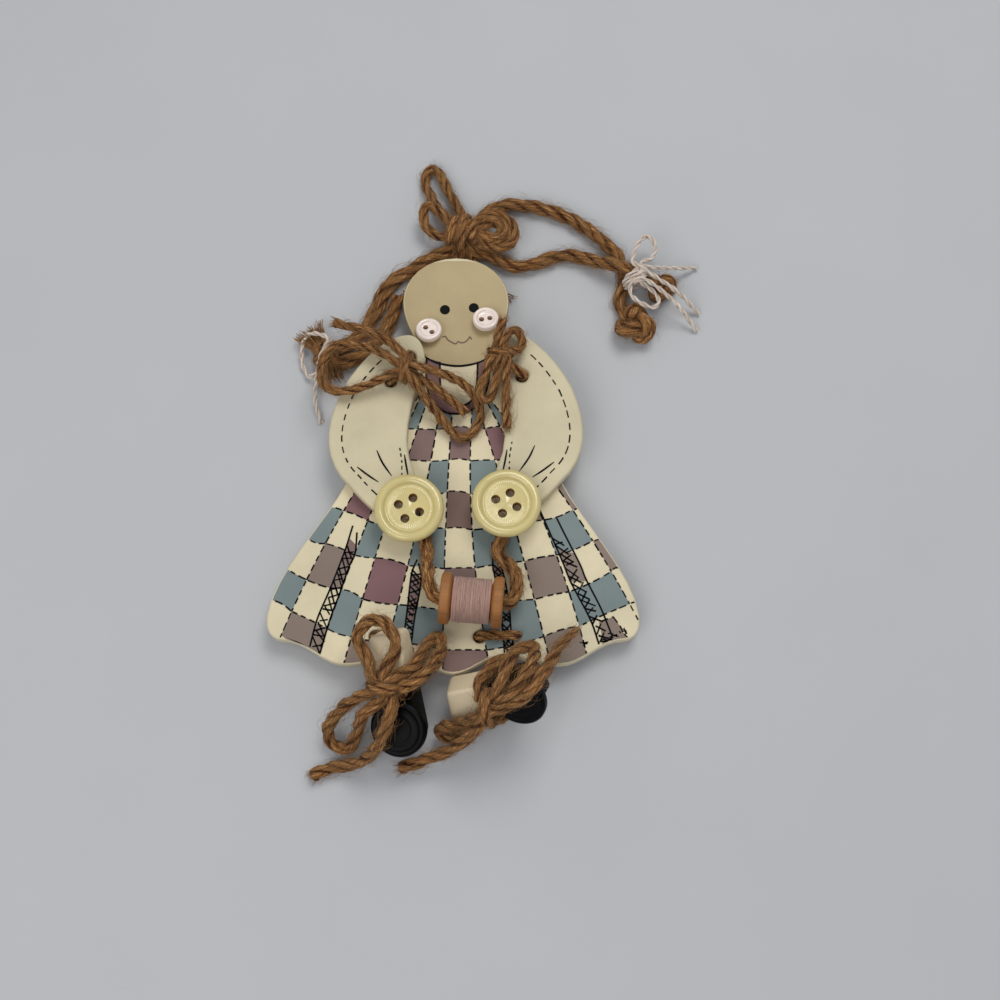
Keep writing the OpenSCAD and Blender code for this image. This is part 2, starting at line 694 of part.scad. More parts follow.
topknot_at = [1.5, crown_y + 7.8, knot_h(loop_d * 1.5) / 2 + lie / 2];
module topknot() {
    color(jute_brown) {
        translate(topknot_at) knot(loop_d * 1.5);
        translate([-2.4, crown_y - 1.2, lie / 2])
            cube([7.6, topknot_at[1] - crown_y - 2.4, band_t - lie / 2]);
    }
}
topknot_route = [
    [[-1.6, 9.6, 5.2], [-4.4, 12.6, 5.8], [-6.6, 14.2, 5.6], [-8.2, 12.6, 5], [-7.6, 9.2, 4.4], [-5, 7, 4],
        [-2.2, 6.6, 3.8]],
    [[4.4, 9.4, 5.8], [7.8, 11.2, 6.4], [11.6, 10.8, 6.4], [13.9, 8, 6], [13.8, 4.8, 5.6], [11.2, 3, 5.5],
        [8, 3.6, 5.4], [4.8, 6.2, 5.2]]
];
module topknot_loops() {
    color(jute_brown) tubes([for (r = topknot_route) smooth(from_crown(r))], loop_d);
}
hanging_route = [
    [-1.2, 10.4, 2.4], [-4.6, 14.8, 2.2], [-7.4, 20.2, 1.8], [-8, 24, 1.6], [-6.1, 26.2, 1.6],
    [-3.9, 23.6, 1.8], [-1.4, 18.2, 2], [1.8, 11.6, 2.4]
];
module hanging_loop() {
    color(jute_brown) tubes([smooth(from_crown(hanging_route))], loop_d);
}

pigtail_left_route = [
    [[-2.2, 3.6, 1.9], [-5.4, 2.1, 1.9], [-8.8, 0.1, 1.9], [-12.2, -2, 1.9], [-15.5, -4.4, 1.9],
        [-17.9, -7.6, 1.9], [-19.2, -11.2, 1.9], [-20.8, -14.8, 1.9], [-22.8, -18.2, 1.9],
        [-25.6, -20.4, 1.9], [-29, -22, 1.9]],
    [[-13.9, -8.2, 1.9], [-14.9, -10.8, 1.9], [-15.8, -13.8, 1.9], [-17, -17, 1.9], [-18.9, -20.1, 1.9],
        [-22.8, -23.4, 1.9], [-28.2, -25.7, 1.9]]
];
pigtail_right_route = [
    [[4.8, 10.4, 2.2], [8, 14.6, 2.2], [13.5, 17, 2.1], [21.5, 16.2, 1.9], [29, 13.2, 1.9], [35, 8.2, 1.9],
        [39.5, 2.2, 1.9], [41, -3.8, 1.9], [39.6, -9.2, 1.9], [40.6, -13, 2.4]],
    [[4.6, 3.8, 1.9], [8, 2.6, 1.9], [11.4, 0.8, 1.9], [14.6, -0.3, 1.9], [17.8, -0.1, 1.9],
        [21.4, 1.2, 1.9], [25, 2.5, 1.9], [29, 2.4, 1.9], [34, 0.6, 2.8], [38.6, -1.4, 5.1],
        [43.4, -3.6, 5.8], [46.6, -5, 4.4]]
];
module pigtail_left() {
    color(jute_brown) tubes([for (r = pigtail_left_route) smooth(from_crown(r))], hair_d);
}
module pigtail_right() {
    color(jute_brown) tubes([for (r = pigtail_right_route) smooth(from_crown(r))], hair_d);
}
module pigtail_knot_left() {
    color(jute_brown)
        translate([-31.4, crown_y - 23.4, knot_h(hair_d * 0.8) / 2 + lie / 2]) knot(hair_d * 0.8);
}
module pigtail_knots_right() {
    color(jute_brown) {
        translate([43.2, crown_y - 16.2, knot_h(hair_d) / 2 + lie / 2]) knot(hair_d);
        translate([49.6, crown_y - 6.2, knot_h(hair_d * 0.8) / 2 + lie / 2]) knot(hair_d * 0.8);
    }
}

// Thread bows tied round the pigtails
thread_left_route = [
    [[-30.2, -21.2, 6.2], [-34, -19, 4.8], [-36.6, -20.2, 3], [-37, -24.8, 1.6], [-35, -28.8, 1.6],
        [-31.4, -26.8, 5.4]],
    [[-32, -26.4, 6.4], [-33.6, -33.8, 2], [-32, -40.3, 0.6]]
];
thread_right_route = [
    [[42.4, -2, 8.1], [43, 0.7, 7.8], [44.5, 4.2, 6.8], [46.6, 5.6, 6], [48.4, 3, 6], [47.2, -0.4, 6.8],
        [44.6, -2, 8.1]],
    [[42.6, -6.4, 7.6], [41.9, -9.8, 6.8], [46.2, -13, 6.8], [48.4, -12.4, 6.8], [48.2, -10.2, 6.8],
        [46.2, -8.2, 7.2], [44, -6.6, 7.8]],
    [[45.6, -3.4, 8.6], [52, -2.2, 5], [59, -0.2, 0.6]],
    [[46.2, -5, 8.8], [53.6, -8.8, 5.4], [59, -12.4, 0.6]],
    [[45.4, -7.2, 9.4], [52.4, -11.4, 6], [58.4, -16.8, 0.6]]
];
module thread_bow_left() {
    color(ribbon_pink) tubes([for (r = thread_left_route) smooth(from_crown(r))], ribbon_d);
}
module thread_bow_right() {
    color(ribbon_pink) tubes([for (r = thread_right_route) smooth(from_crown(r))], ribbon_d);
}

body_board();
arm_left();
arm_right();
hand_button_left();
hand_button_right();
cheek_button_left();
cheek_button_right();
arm_lashing_left();
arm_lashing_right();
shoulder_knot_left();
shoulder_knot_right();
shoulder_bow_left();
shoulder_bow_right();
hand_cord();
hand_cord_end_left();
hand_cord_end_right();
spool();
thread_core();
thread_winding();
leg_left();
leg_right();
shoe_button_left();
shoe_button_right();
hem_stitch_left();
hem_stitch_right();
leg_cord_left();
leg_cord_right();
ankle_wrap_left();
ankle_wrap_right();
ankle_knot_left();
ankle_knot_right();
ankle_bow_left();
ankle_bow_right();
hair_band();
topknot();
topknot_loops();
hanging_loop();
pigtail_left();
pigtail_right();
pigtail_knot_left();
pigtail_knots_right();
thread_bow_left();
thread_bow_right();
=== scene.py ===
import math

import bmesh
import bpy
import numpy as np
from mathutils import Matrix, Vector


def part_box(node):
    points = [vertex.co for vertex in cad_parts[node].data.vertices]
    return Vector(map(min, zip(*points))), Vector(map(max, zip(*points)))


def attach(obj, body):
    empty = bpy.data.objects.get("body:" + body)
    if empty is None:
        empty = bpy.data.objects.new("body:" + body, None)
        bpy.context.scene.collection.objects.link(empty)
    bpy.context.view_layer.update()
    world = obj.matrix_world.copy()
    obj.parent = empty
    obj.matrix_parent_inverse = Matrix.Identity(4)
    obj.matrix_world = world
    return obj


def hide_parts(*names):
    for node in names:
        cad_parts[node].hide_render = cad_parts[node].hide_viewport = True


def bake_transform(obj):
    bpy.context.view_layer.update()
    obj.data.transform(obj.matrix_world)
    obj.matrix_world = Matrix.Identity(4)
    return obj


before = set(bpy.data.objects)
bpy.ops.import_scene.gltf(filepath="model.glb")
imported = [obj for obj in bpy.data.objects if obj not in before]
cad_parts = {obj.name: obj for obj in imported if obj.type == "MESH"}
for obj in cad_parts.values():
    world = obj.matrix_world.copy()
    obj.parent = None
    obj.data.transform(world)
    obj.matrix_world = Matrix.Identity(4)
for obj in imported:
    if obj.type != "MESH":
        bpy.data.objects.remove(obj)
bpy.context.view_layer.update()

# Sizes below are in millimetres, in the part's own frame, unless a line says metres
MM = 0.001


def high_mm(node):
    """The upper corner of a CAD node's box."""
    return np.array(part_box(node)[1]) / MM


FACE_Z = high_mm("body_board")[2]
ARM_Z = high_mm("arm_left")[2]
# How far a patch of paint and an inked line stand off the wood
FILM = 0.05
INK = 0.09
INK_Z = FACE_Z + INK


# Camera and light

TILT = math.radians(15)
CAMERA_AT = (10.58, -84.61, 318.76)
CLIP_START = 10
FOCAL_PIXELS = 1402.5
FRAME_PIXELS = 1000
ROOM_COLOUR = (0.92, 0.96, 1.0, 1.0)
ROOM_STRENGTH = 0.4
# Each lamp: its place and size in metres, its power in watts and its colour
LAMPS = {
    "window": ((0.16, 0.34, 0.66), 0.34, 2.15, (1.0, 0.97, 0.92)),
    "fill": ((-0.24, -0.32, 0.5), 0.4, 1.25, (1.0, 0.97, 0.94)),
}


def srgb(r, g, b):
    """A colour written in 0 to 255, as the linear colour that a shader takes."""
    channels = [c / 255 for c in (r, g, b)]
    linear = [c / 12.92 if c <= 0.04045 else ((c + 0.055) / 1.055) ** 2.4 for c in channels]
    return (*linear, 1.0)


def add_camera():
    data = bpy.data.cameras.new("camera")
    data.angle = 2 * math.atan(FRAME_PIXELS / 2 / FOCAL_PIXELS)
    data.clip_start = CLIP_START * MM
    camera = bpy.data.objects.new("camera", data)
    camera.location = [c * MM for c in CAMERA_AT]
    camera.rotation_euler = (TILT, 0, 0)
    bpy.context.scene.collection.objects.link(camera)
    bpy.context.scene.camera = camera


def add_lamp(name, place, size, watts, colour):
    data = bpy.data.lights.new(name, "AREA")
    data.size = size
    data.energy = watts
    data.color = colour
    lamp = bpy.data.objects.new(name, data)
    lamp.location = place
    aim = -lamp.location
    lamp.rotation_euler = aim.to_track_quat("-Z", "Y").to_euler()
    bpy.context.scene.collection.objects.link(lamp)


def add_light():
    world = bpy.data.worlds.new("room")
    world.use_nodes = True
    background = world.node_tree.nodes["Background"]
    background.inputs["Color"].default_value = ROOM_COLOUR
    background.inputs["Strength"].default_value = ROOM_STRENGTH
    bpy.context.scene.world = world
    for name, values in LAMPS.items():
        add_lamp(name, *values)
    bpy.context.scene.view_settings.view_transform = "Standard"


# Materials


class Shader:
    """A node material that is built one short line at a time."""

    def __init__(self, name, roughness, colour=(0.5, 0.5, 0.5, 1)):
        self.material = bpy.data.materials.new(name)
        self.material.use_nodes = True
        self.tree = self.material.node_tree
        self.surface = self.tree.nodes["Principled BSDF"]
        self.set("Base Color", colour)
        self.set("Roughness", roughness)

    def set(self, socket, value):
        self.surface.inputs[socket].default_value = value

    def node(self, kind, **values):
        node = self.tree.nodes.new("ShaderNode" + kind)
        for key, value in values.items():
            if key in node.inputs:
                self.feed(value, node.inputs[key])
            else:
                setattr(node, key, value)
        return node

    def feed(self, value, socket):
        if isinstance(value, bpy.types.NodeSocket):
            self.tree.links.new(value, socket)
        else:
            socket.default_value = value

    def place(self, stretch=(1, 1, 1), attribute=None):
        """Object coordinates, or a stored attribute, stretched by a factor along each axis."""
        if attribute:
            source = self.node("Attribute", attribute_name=attribute).outputs["Vector"]
        else:
            source = self.node("TexCoord").outputs["Object"]
        mapping = self.node("Mapping", Vector=source)
        mapping.inputs["Scale"].default_value = stretch
        return mapping.outputs["Vector"]

    def noise(self, vector, scale, detail=3.0, rough=0.55):
        noise = self.node("TexNoise", Vector=vector, Scale=scale, Detail=detail, Roughness=rough)
        return noise.outputs["Fac"]

    def ramp(self, factor, stops):
        ramp = self.node("ValToRGB", Fac=factor)
        points = ramp.color_ramp.elements
        while len(points) < len(stops):
            points.new(0.5)
        for point, (position, colour) in zip(points, stops):
            point.position = position
            point.color = colour
        return ramp.outputs["Color"]

    def arithmetic(self, operation, a, b):
        node = self.node("Math", operation=operation)
        self.feed(a, node.inputs[0])
        self.feed(b, node.inputs[1])
        return node.outputs[0]

    def mix(self, factor, a, b, blend="MIX"):
        """A mix of two colours, whose sockets are inputs 6 and 7 and output 2 of the node."""
        mix = self.node("Mix", data_type="RGBA", blend_type=blend)
        self.feed(factor, mix.inputs[0])
        self.feed(a, mix.inputs[6])
        self.feed(b, mix.inputs[7])
        return mix.outputs[2]

    def bump(self, height, distance, strength=1.0):
        bump = self.node("Bump", Height=height, Distance=distance, Strength=strength)
        self.feed(bump.outputs["Normal"], self.surface.inputs["Normal"])

    def colour(self, output):
        self.feed(output, self.surface.inputs["Base Color"])


def shade(colour, factor):
    return (*[min(1.0, c * factor) for c in colour[:3]], 1.0)


def paint(name, colour, roughness=0.5, specular=0.3):
    """Brushed craft paint: faint blotches, a few specks and a fine grain."""
    look = Shader(name, roughness)
    look.set("Specular IOR Level", specular)
    here = look.place()
    blotch = look.noise(here, scale=90, detail=4)
    tone = look.ramp(blotch, [(0.3, shade(colour, 0.9)), (0.7, shade(colour, 1.05))])
    speck = look.noise(here, scale=1300, detail=2)
    spots = look.ramp(speck, [(0.22, (0.6, 0.6, 0.6, 1)), (0.25, (0, 0, 0, 1))])
    look.colour(look.mix(spots, tone, shade(colour, 0.62)))
    strokes = look.noise(look.place(stretch=(1, 0.25, 1)), scale=1500)
    look.bump(strokes, distance=0.00006, strength=0.5)
    return look.material


def bare_wood(name, colour, along=(1, 1, 1), scale=160):
    """Bare wood whose grain runs the way that has the small stretch."""
    look = Shader(name, 0.6)
    grain = look.noise(look.place(along), scale, detail=6, rough=0.65)
    tone = look.ramp(grain, [(0.3, shade(colour, 0.68)), (0.5, colour), (0.72, shade(colour, 1.18))])
    look.colour(tone)
    look.bump(grain, distance=0.00015, strength=0.6)
    return look.material


def gloss(name, colour, roughness=0.18, coat=0.4, subsurface=0.0, specular=0.5):
    """Moulded plastic with faint clouding and a slightly uneven polish."""
    look = Shader(name, roughness)
    here = look.place()
    cloud = look.noise(here, scale=220)
    look.colour(look.ramp(cloud, [(0.3, shade(colour, 0.93)), (0.7, shade(colour, 1.04))]))
    look.set("Specular IOR Level", specular)
    look.set("Coat Weight", coat)
    look.set("Coat Roughness", 0.08)
    look.set("Subsurface Weight", subsurface)
    look.set("Subsurface Radius", (0.001, 0.0008, 0.0005))
    look.bump(look.noise(here, scale=900, detail=2), distance=0.00002, strength=0.4)
    return look.material


def yarn(name, dark, mid, light, streaks=3.0, sheen=0.25, groove_shade_tint=(0.36, 0.25, 0.16, 1)):
    """Spun fibre: streaks along each ply from its stored lay, and painted shade that darkens each ply where
    it turns in between the plies.
    """
    look = Shader(name, 0.86)
    lay = look.place(attribute="lay")
    broad = look.noise(lay, streaks, rough=0.6)
    fine = look.noise(lay, streaks * 3, detail=4, rough=0.7)
    streak = look.arithmetic("MULTIPLY", look.arithmetic("ADD", broad, fine), 0.5)
    tone = look.ramp(streak, [(0.38, dark), (0.5, mid), (0.62, light)])
    # Painted shade: each ply darkens where it faces in towards the cord's middle, in the grooves between the
    # plies.
    groove = look.node("Attribute", attribute_name="groove").outputs["Fac"]
    groove_shade = look.ramp(groove, [(0.0, groove_shade_tint), (0.62, (1, 1, 1, 1))])
    look.colour(look.mix(1.0, tone, groove_shade, "MULTIPLY"))
    look.set("Specular IOR Level", 0.2)
    look.set("Sheen Weight", sheen)
    look.set("Sheen Roughness", 0.5)
    look.bump(streak, distance=0.0004, strength=0.9)
    return look.material


PATCH_COLOURS = {
    "teal": srgb(122, 137, 137),
    "taupe": srgb(137, 121, 110),
    "mauve": srgb(128, 103, 99),
    "plum": srgb(128, 93, 96),
    "brown": srgb(116, 92, 84),
}

cream_paint = paint("cream_paint", srgb(211, 200, 168))
# The board takes a lighter copy of the sleeves' cream paint: painted light that lifts the shade which the
# spool, hands and bows cast on the board.
board_cream_lit = paint("board_cream_lit", srgb(226, 214, 181))
head_paint = paint("head_paint", srgb(186, 167, 127))
patch_paints = {name: paint(f"{name}_paint", colour) for name, colour in PATCH_COLOURS.items()}
ink_paint = paint("ink_paint", srgb(9, 9, 12), 0.6, 0.12)
mouth_paint = paint("mouth_paint", srgb(112, 88, 82), 0.6)
leg_white = paint("leg_white", srgb(236, 219, 185), 0.6)
leg_black = paint("leg_black", srgb(5, 5, 7), 0.45, 0.12)
back_wood = bare_wood("back_wood", srgb(196, 168, 126), (1, 0.08, 1))
button_cream = gloss("button_cream", srgb(214, 198, 136), 0.2, 0.5, 0.08)
# The buttons' hole walls take darker copies of the buttons' colours: painted shade inside the holes, warmed
# brown in the hand buttons by painted bounce light.
button_hole_shade = gloss("button_hole_shade", srgb(150, 106, 62), 0.5, 0.0)
pearl_hole_shade = gloss("pearl_hole_shade", srgb(214, 190, 172), 0.4, 0.0, 0.1)
button_pearl = gloss("button_pearl", srgb(250, 234, 226), 0.16, 0.6, 0.1)
button_black = gloss("button_black", srgb(2, 2, 4), 0.4, 0.0, 0.0, 0.1)
spool_wood = bare_wood("spool_wood", srgb(156, 103, 53), (0.1, 1, 1), 420)
thread_pink = yarn("thread_pink", srgb(160, 118, 104), srgb(203, 158, 142), srgb(232, 200, 186), 2.5, 0.3)
pale_tones = (srgb(196, 168, 150), srgb(236, 220, 206), srgb(252, 246, 236))
thread_pale = yarn("thread_pale", *pale_tones, 1.6, 0.6, (0.8, 0.76, 0.72, 1))
jute = yarn("jute", srgb(74, 42, 18), srgb(141, 93, 48), srgb(218, 169, 112), 2.4, 0.06, (0.26, 0.17, 0.1, 1))
jute_fuzz = yarn("jute_fuzz", srgb(126, 84, 44), srgb(188, 138, 82), srgb(226, 186, 132), 2.0, 0.1)


# Curves and meshes


def bezier(a, b, c, d, count=16):
    t = np.linspace(0, 1, count + 1)[:, None]
    a, b, c, d = (np.array(p, float) for p in (a, b, c, d))
    return (1 - t) ** 3 * a + 3 * (1 - t) ** 2 * t * b + 3 * (1 - t) * t**2 * c + t**3 * d


def curve(points, steps=12):
    """A smooth curve through given points."""
    p = np.array(points, float)
    p = np.vstack([2 * p[0] - p[1], p, 2 * p[-1] - p[-2]])
    t = (np.arange(steps) / steps)[:, None]
    runs = []
    for a, b, c, d in zip(p, p[1:], p[2:], p[3:]):
        square = (2 * a - 5 * b + 4 * c - d) * t**2
        cube = (3 * b - a - 3 * c + d) * t**3
        runs.append(0.5 * (2 * b + (c - a) * t + square + cube))
    return np.vstack([*runs, p[-2]])


def lengths(path):
    """How far along a path each of its points lies."""
    return np.concatenate([[0], np.cumsum(np.linalg.norm(np.diff(path, axis=0), axis=1))])


def even(path, step):
    """The same path with its points a steady step apart."""
    s = lengths(path)
    wanted = np.linspace(0, s[-1], max(4, int(round(s[-1] / step)) + 1))
    return np.stack([np.interp(wanted, s, path[:, k]) for k in range(path.shape[1])], axis=1)


def unit(v):
    return v / np.maximum(np.linalg.norm(v, axis=-1, keepdims=True), 1e-9)


def frames_along(path):
    """Directions along, across and out of a path, carried along it without twisting."""
    along = unit(np.gradient(path, axis=0))
    across = np.zeros_like(along)
    side = np.eye(3)[np.argmin(np.abs(along[0]))]
    for i, t in enumerate(along):
        side = unit(side - side.dot(t) * t)
        across[i] = side
    return along, across, np.cross(along, across)


def soft_noise(rng, count, knots):
    """A smooth random line between -1 and 1."""
    knots = max(2, knots)
    places = np.linspace(0, 1, knots)
    return np.interp(np.linspace(0, 1, count), places, rng.uniform(-1, 1, knots))


def stretched_noise(rng, rings, sides, every=5):
    """Random lumps that run a few rings along a tube, as bundles of fibre do."""
    knots = rng.normal(0, 1, (rings // every + 2, sides))
    at = np.arange(rings) / every
    i = at.astype(int)
    t = (at - i)[:, None]
    return np.clip((1 - t) * knots[i] + t * knots[i + 1], -2, 2)


# How deep a ply's lumps are, how fast its streaks run along it, and the smallest face that a patch keeps
ROUGHNESS = 0.13
LAY_PER_MM = 0.09
LEAST_AREA = 1e-4


class Mesh:
    """Collects tubes, strips and patches into one mesh."""

    def __init__(self):
        self.verts = []
        self.faces = []
        self.picks = []
        self.lays = []
        self.grooves = []
        self.count = 0

    def add(self, verts, faces, pick=0, lay=None, groove=None):
        verts = np.asarray(verts, float)
        self.verts.append(verts)
        self.faces.extend(tuple(i + self.count for i in f) for f in faces)
        self.picks.extend([pick] * len(faces))
        self.lays.append(np.zeros_like(verts) if lay is None else lay)
        self.grooves.append(np.ones(len(verts)) if groove is None else groove)
        self.count += len(verts)

    def tube(self, path, radius, sides, pick=0, lay_from=0.0, twist=0.0, rough=None, outward=None):
        along, across, out = frames_along(path)
        s = lengths(path)
        angle = np.linspace(0, 2 * math.pi, sides, endpoint=False)
        radius = np.broadcast_to(radius, len(path))[:, None, None]
        if rough is not None:
            radius = radius * (1 + ROUGHNESS * stretched_noise(rough, len(path), sides))[:, :, None]
        ring = across[:, None] * np.cos(angle)[None, :, None] + out[:, None] * np.sin(angle)[None, :, None]
        verts = (path[:, None] + radius * ring).reshape(-1, 3)
        turned = angle[None] + twist * s[:, None]
        down = np.repeat(s[:, None] * LAY_PER_MM + lay_from, sides, 1)
        lay = np.stack([np.cos(turned), np.sin(turned), down], -1)
        groove = None if outward is None else np.einsum("ijk,ik->ij", ring, outward).ravel()
        self.add(verts, tube_faces(len(path), sides), pick, lay.reshape(-1, 3), groove)

    def grid(self, points, pick=0):
        """A flat patch that looks up, from rows of points, without faces that are folded over or empty."""
        columns = points.shape[1]
        a, b, c, d = points[:-1, :-1], points[:-1, 1:], points[1:, 1:], points[1:, :-1]
        area = np.cross(c - a, d - b)[..., 2]
        turn = 1 if area.sum() > 0 else -1
        faces = []
        for i, j in np.argwhere(area * turn > LEAST_AREA).tolist():
            k = i * columns + j
            faces.append((k, k + 1, k + 1 + columns, k + columns)[::turn])
        self.add(points.reshape(-1, 3), faces, pick)

    def piece(self, name, materials, smooth=True):
        mesh = bpy.data.meshes.new(name)
        mesh.from_pydata((np.vstack(self.verts) * MM).tolist(), [], self.faces)
        for material in materials:
            mesh.materials.append(material)
        mesh.polygons.foreach_set("material_index", self.picks)
        mesh.polygons.foreach_set("use_smooth", [smooth] * len(self.faces))
        lay = mesh.attributes.new("lay", "FLOAT_VECTOR", "POINT")
        lay.data.foreach_set("vector", np.vstack(self.lays).astype(np.float32).ravel())
        groove = mesh.attributes.new("groove", "FLOAT", "POINT")
        groove.data.foreach_set("value", np.concatenate(self.grooves).astype(np.float32))
        mesh.update()
        obj = bpy.data.objects.new(name, mesh)
        bpy.context.scene.collection.objects.link(obj)
        return obj


def tube_faces(rings, sides):
    """The faces of a tube of rings: its first cap, its walls and its last cap."""
    faces = [tuple(range(sides - 1, -1, -1))]
    for i in range(rings - 1):
        for j in range(sides):
            a, b = i * sides + j, i * sides + (j + 1) % sides
            faces.append((a, b, b + sides, a + sides))
    faces.append(tuple(range((rings - 1) * sides, rings * sides)))
    return faces


def dress(obj, body, slot, *nodes):
    """Put a finished piece on its body, in place of its CAD nodes; the slot argument is not used."""
    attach(obj, body)
    if nodes:
        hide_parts(*nodes)
    return obj


# Twine and thread

PLIES = 3
PLY_SIDES = 9
# Shares of a cord's thickness: from ring to ring, in one turn of the lay, out to a ply, and a ply's radius
RING_STEP = 0.15
LAY_TURN = 5.0
PLY_OUT = 0.235
PLY_R = 0.28
# How far plies wander round the cord and how much they swell, each with the length that this takes
WANDER, WANDER_STEP = 0.5, 6
SWELL, SWELL_STEP = 0.1, 1.6
# What is left of a ply's radius at its ends, and of a cord's thickness at the tip of a thin tail
END_SHARE = 0.55
TAIL_TIP = 0.5
# How much a frayed end opens, and over how many thicknesses of the cord
FRAY_OPEN, FRAY_REACH = 0.5, 1.2
FIBRE_R = 0.034
STRAY_REACH = 1.8
# Fibres that lie on the plies, for each millimetre of cord
SURFACE_FIBRES = 6.0
# Stray fibres for each millimetre of cord: as a rule, in the pigtails, and where a cord is mostly hidden
FUZZ = 9.0
HAIR_FUZZ = 12
LITTLE_FUZZ = 1.0
# The span of places in the streaks where a ply or a fibre may start
LAY_SPAN = 90


def twine(mesh, route, d, seed, plies=PLIES, fuzz=FUZZ, frayed=(False, False), thin=0.0):
    """Twisted plies along a route, with stray fibres; thin is the length over which the far end tapers.

    Gives back the line that the plies follow.
    """
    rng = np.random.default_rng(seed)
    path = even(curve(route), d * RING_STEP)
    along, across, out = frames_along(path)
    s = lengths(path)
    count = len(path)
    spread = np.ones(count)
    for end, at in enumerate((s, s[-1] - s)):
        if frayed[end]:
            spread += FRAY_OPEN * np.clip(1 - at / (FRAY_REACH * d), 0, 1)
    size = np.ones(count)
    if thin:
        size -= (1 - TAIL_TIP) * np.clip(1 - (s[-1] - s) / thin, 0, 1)
    start = rng.uniform(0, 2 * math.pi)
    for k in range(plies):
        wander = WANDER * soft_noise(rng, count, int(s[-1] / WANDER_STEP))
        turn = start + 2 * math.pi * (s / (LAY_TURN * d) + k / plies) + wander
        offset = across * np.cos(turn)[:, None] + out * np.sin(turn)[:, None]
        centre = path + offset * (PLY_OUT * d * spread * size)[:, None]
        radius = PLY_R * d * size * (1 + SWELL * soft_noise(rng, count, int(s[-1] / SWELL_STEP)))
        radius[[0, -1]] *= END_SHARE
        lay_from = rng.uniform(0, LAY_SPAN)
        mesh.tube(centre, radius, PLY_SIDES, 0, lay_from, 2 * math.pi / (LAY_TURN * d), rng, offset)
        if fuzz:
            surface_fibres(mesh, rng, centre, radius, (across, out), int(s[-1] * SURFACE_FIBRES / plies))
    if fuzz:
        stray_fibres(mesh, rng, path, (along, across, out), d, int(fuzz * s[-1]))
        for end in (0, 1):
            if frayed[end]:
                end_fibres(mesh, rng, path if end else path[::-1], d * size[-1])
    return path


def add_fibre(mesh, rng, fibre, radius):
    """One fibre, kept above the floor."""
    fibre[:, 2] = np.maximum(fibre[:, 2], FIBRE_R)
    mesh.tube(fibre, radius, 3, 1, rng.uniform(0, LAY_SPAN))


def surface_fibres(mesh, rng, centre, radius, axes, count):
    """Single fibres that lie on a ply and lift off it a little at their ends."""
    across, out = axes
    t = np.linspace(0, 1, 6)
    for _ in range(count):
        span = int(rng.integers(6, 15))
        if len(centre) <= span + 2:
            return
        first = int(rng.integers(0, len(centre) - span))
        at = np.round(first + span * t).astype(int)
        angle = rng.uniform(0, 2 * math.pi) + rng.uniform(-0.5, 1.6) * t
        lift = radius[at] * 1.06 + rng.uniform(0.02, 0.22) * np.abs(2 * t - 1) ** 2
        side = across[at] * np.cos(angle)[:, None] + out[at] * np.sin(angle)[:, None]
        add_fibre(mesh, rng, centre[at] + side * lift[:, None], FIBRE_R * rng.uniform(1.0, 2.2))


def stray_fibres(mesh, rng, path, axes, d, count):
    """Loose fibres that spring from the surface, bend over and curl."""
    along, across, out = axes
    t = np.linspace(0, 1, 6)[:, None]
    for i in rng.integers(1, len(path) - 1, count):
        angle = rng.uniform(0, 2 * math.pi)
        away = across[i] * math.cos(angle) + out[i] * math.sin(angle)
        sideways = np.cross(away, along[i])
        long = rng.uniform() > 0.55
        reach = rng.uniform(2.0, 5.0) if long else rng.uniform(0.7, 2.2)
        lift = (rng.uniform(0.4, 1.7) if long else rng.uniform(0.05, 0.7)) * min(1.0, d / 2)
        run = along[i] * rng.choice((-1, 1)) + sideways * rng.uniform(-0.6, 0.6)
        fibre = path[i] + away * (0.46 * d + lift * np.sin(rng.uniform(1.3, 3.0) * t)) + run * reach * t
        fibre += sideways * rng.uniform(-0.5, 0.5) * np.sin(rng.uniform(2, 6) * t)
        fibre[:, 2] = np.maximum(fibre[:, 2], FIBRE_R)
        far = np.linalg.norm(path[None] - fibre[:, None], axis=2).min(axis=1)
        if far.max() < 0.5 * d + STRAY_REACH:
            add_fibre(mesh, rng, fibre, FIBRE_R * np.linspace(1, 0.5, 6))


def end_fibres(mesh, rng, path, d, count=46):
    """A short brush of fibres past the cut end of a cord."""
    tip = path[-1]
    ahead = unit(path[-1] - path[-3])
    _, across, out = frames_along(path[-4:])
    t = np.linspace(0, 1, 4)[:, None]
    for _ in range(count):
        angle = rng.uniform(0, 2 * math.pi)
        r = 0.5 * d * math.sqrt(rng.uniform(0, 1))
        side = across[-1] * math.cos(angle) + out[-1] * math.sin(angle)
        reach = rng.uniform(0.3, 1.5)
        fibre = tip - 0.5 * ahead + side * r * (1 + 0.5 * t) + ahead * (reach + 0.5) * t
        add_fibre(mesh, rng, fibre, FIBRE_R * 1.3 * np.linspace(1, 0.5, 4))


def jute_piece(name, route, d, seed, frayed=(False, False), fuzz=FUZZ, thin=0.0):
    """One piece made of one run of jute; gives back the piece and the run's line."""
    mesh = Mesh()
    path = twine(mesh, route, d, seed, PLIES, fuzz, frayed, thin)
    return mesh.piece(name, [jute, jute_fuzz]), path


def jute_cord(name, body, node, route, d, seed, leaves, far_end, pieces=(), **looks):
    """A jute cord, made and put in place of its CAD node."""
    cord, path = jute_piece(name, route, d, seed, **looks)
    dress(cord, body, "jute", node)


def jute_on_doll(mesh, name, node):
    """Finish a mesh of jute as a piece on the doll, in place of a CAD node."""
    return dress(mesh.piece(name, [jute, jute_fuzz]), "doll", "jute", node)


def wraps(centre, axis, up, across_r, up_r, turns, step):
    """The route of a few turns round a bundle that lies along axis."""
    axis = unit(np.array(axis, float))
    up = unit(np.array(up, float) - axis * np.dot(axis, up))
    side = np.cross(up, axis)
    t = np.linspace(-turns / 2, turns / 2, int(turns * 12) + 1)[:, None]
    a = 2 * math.pi * t + math.pi / 2
    return np.array(centre) + axis * t * step + side * across_r * np.cos(a) + up * up_r * np.sin(a)


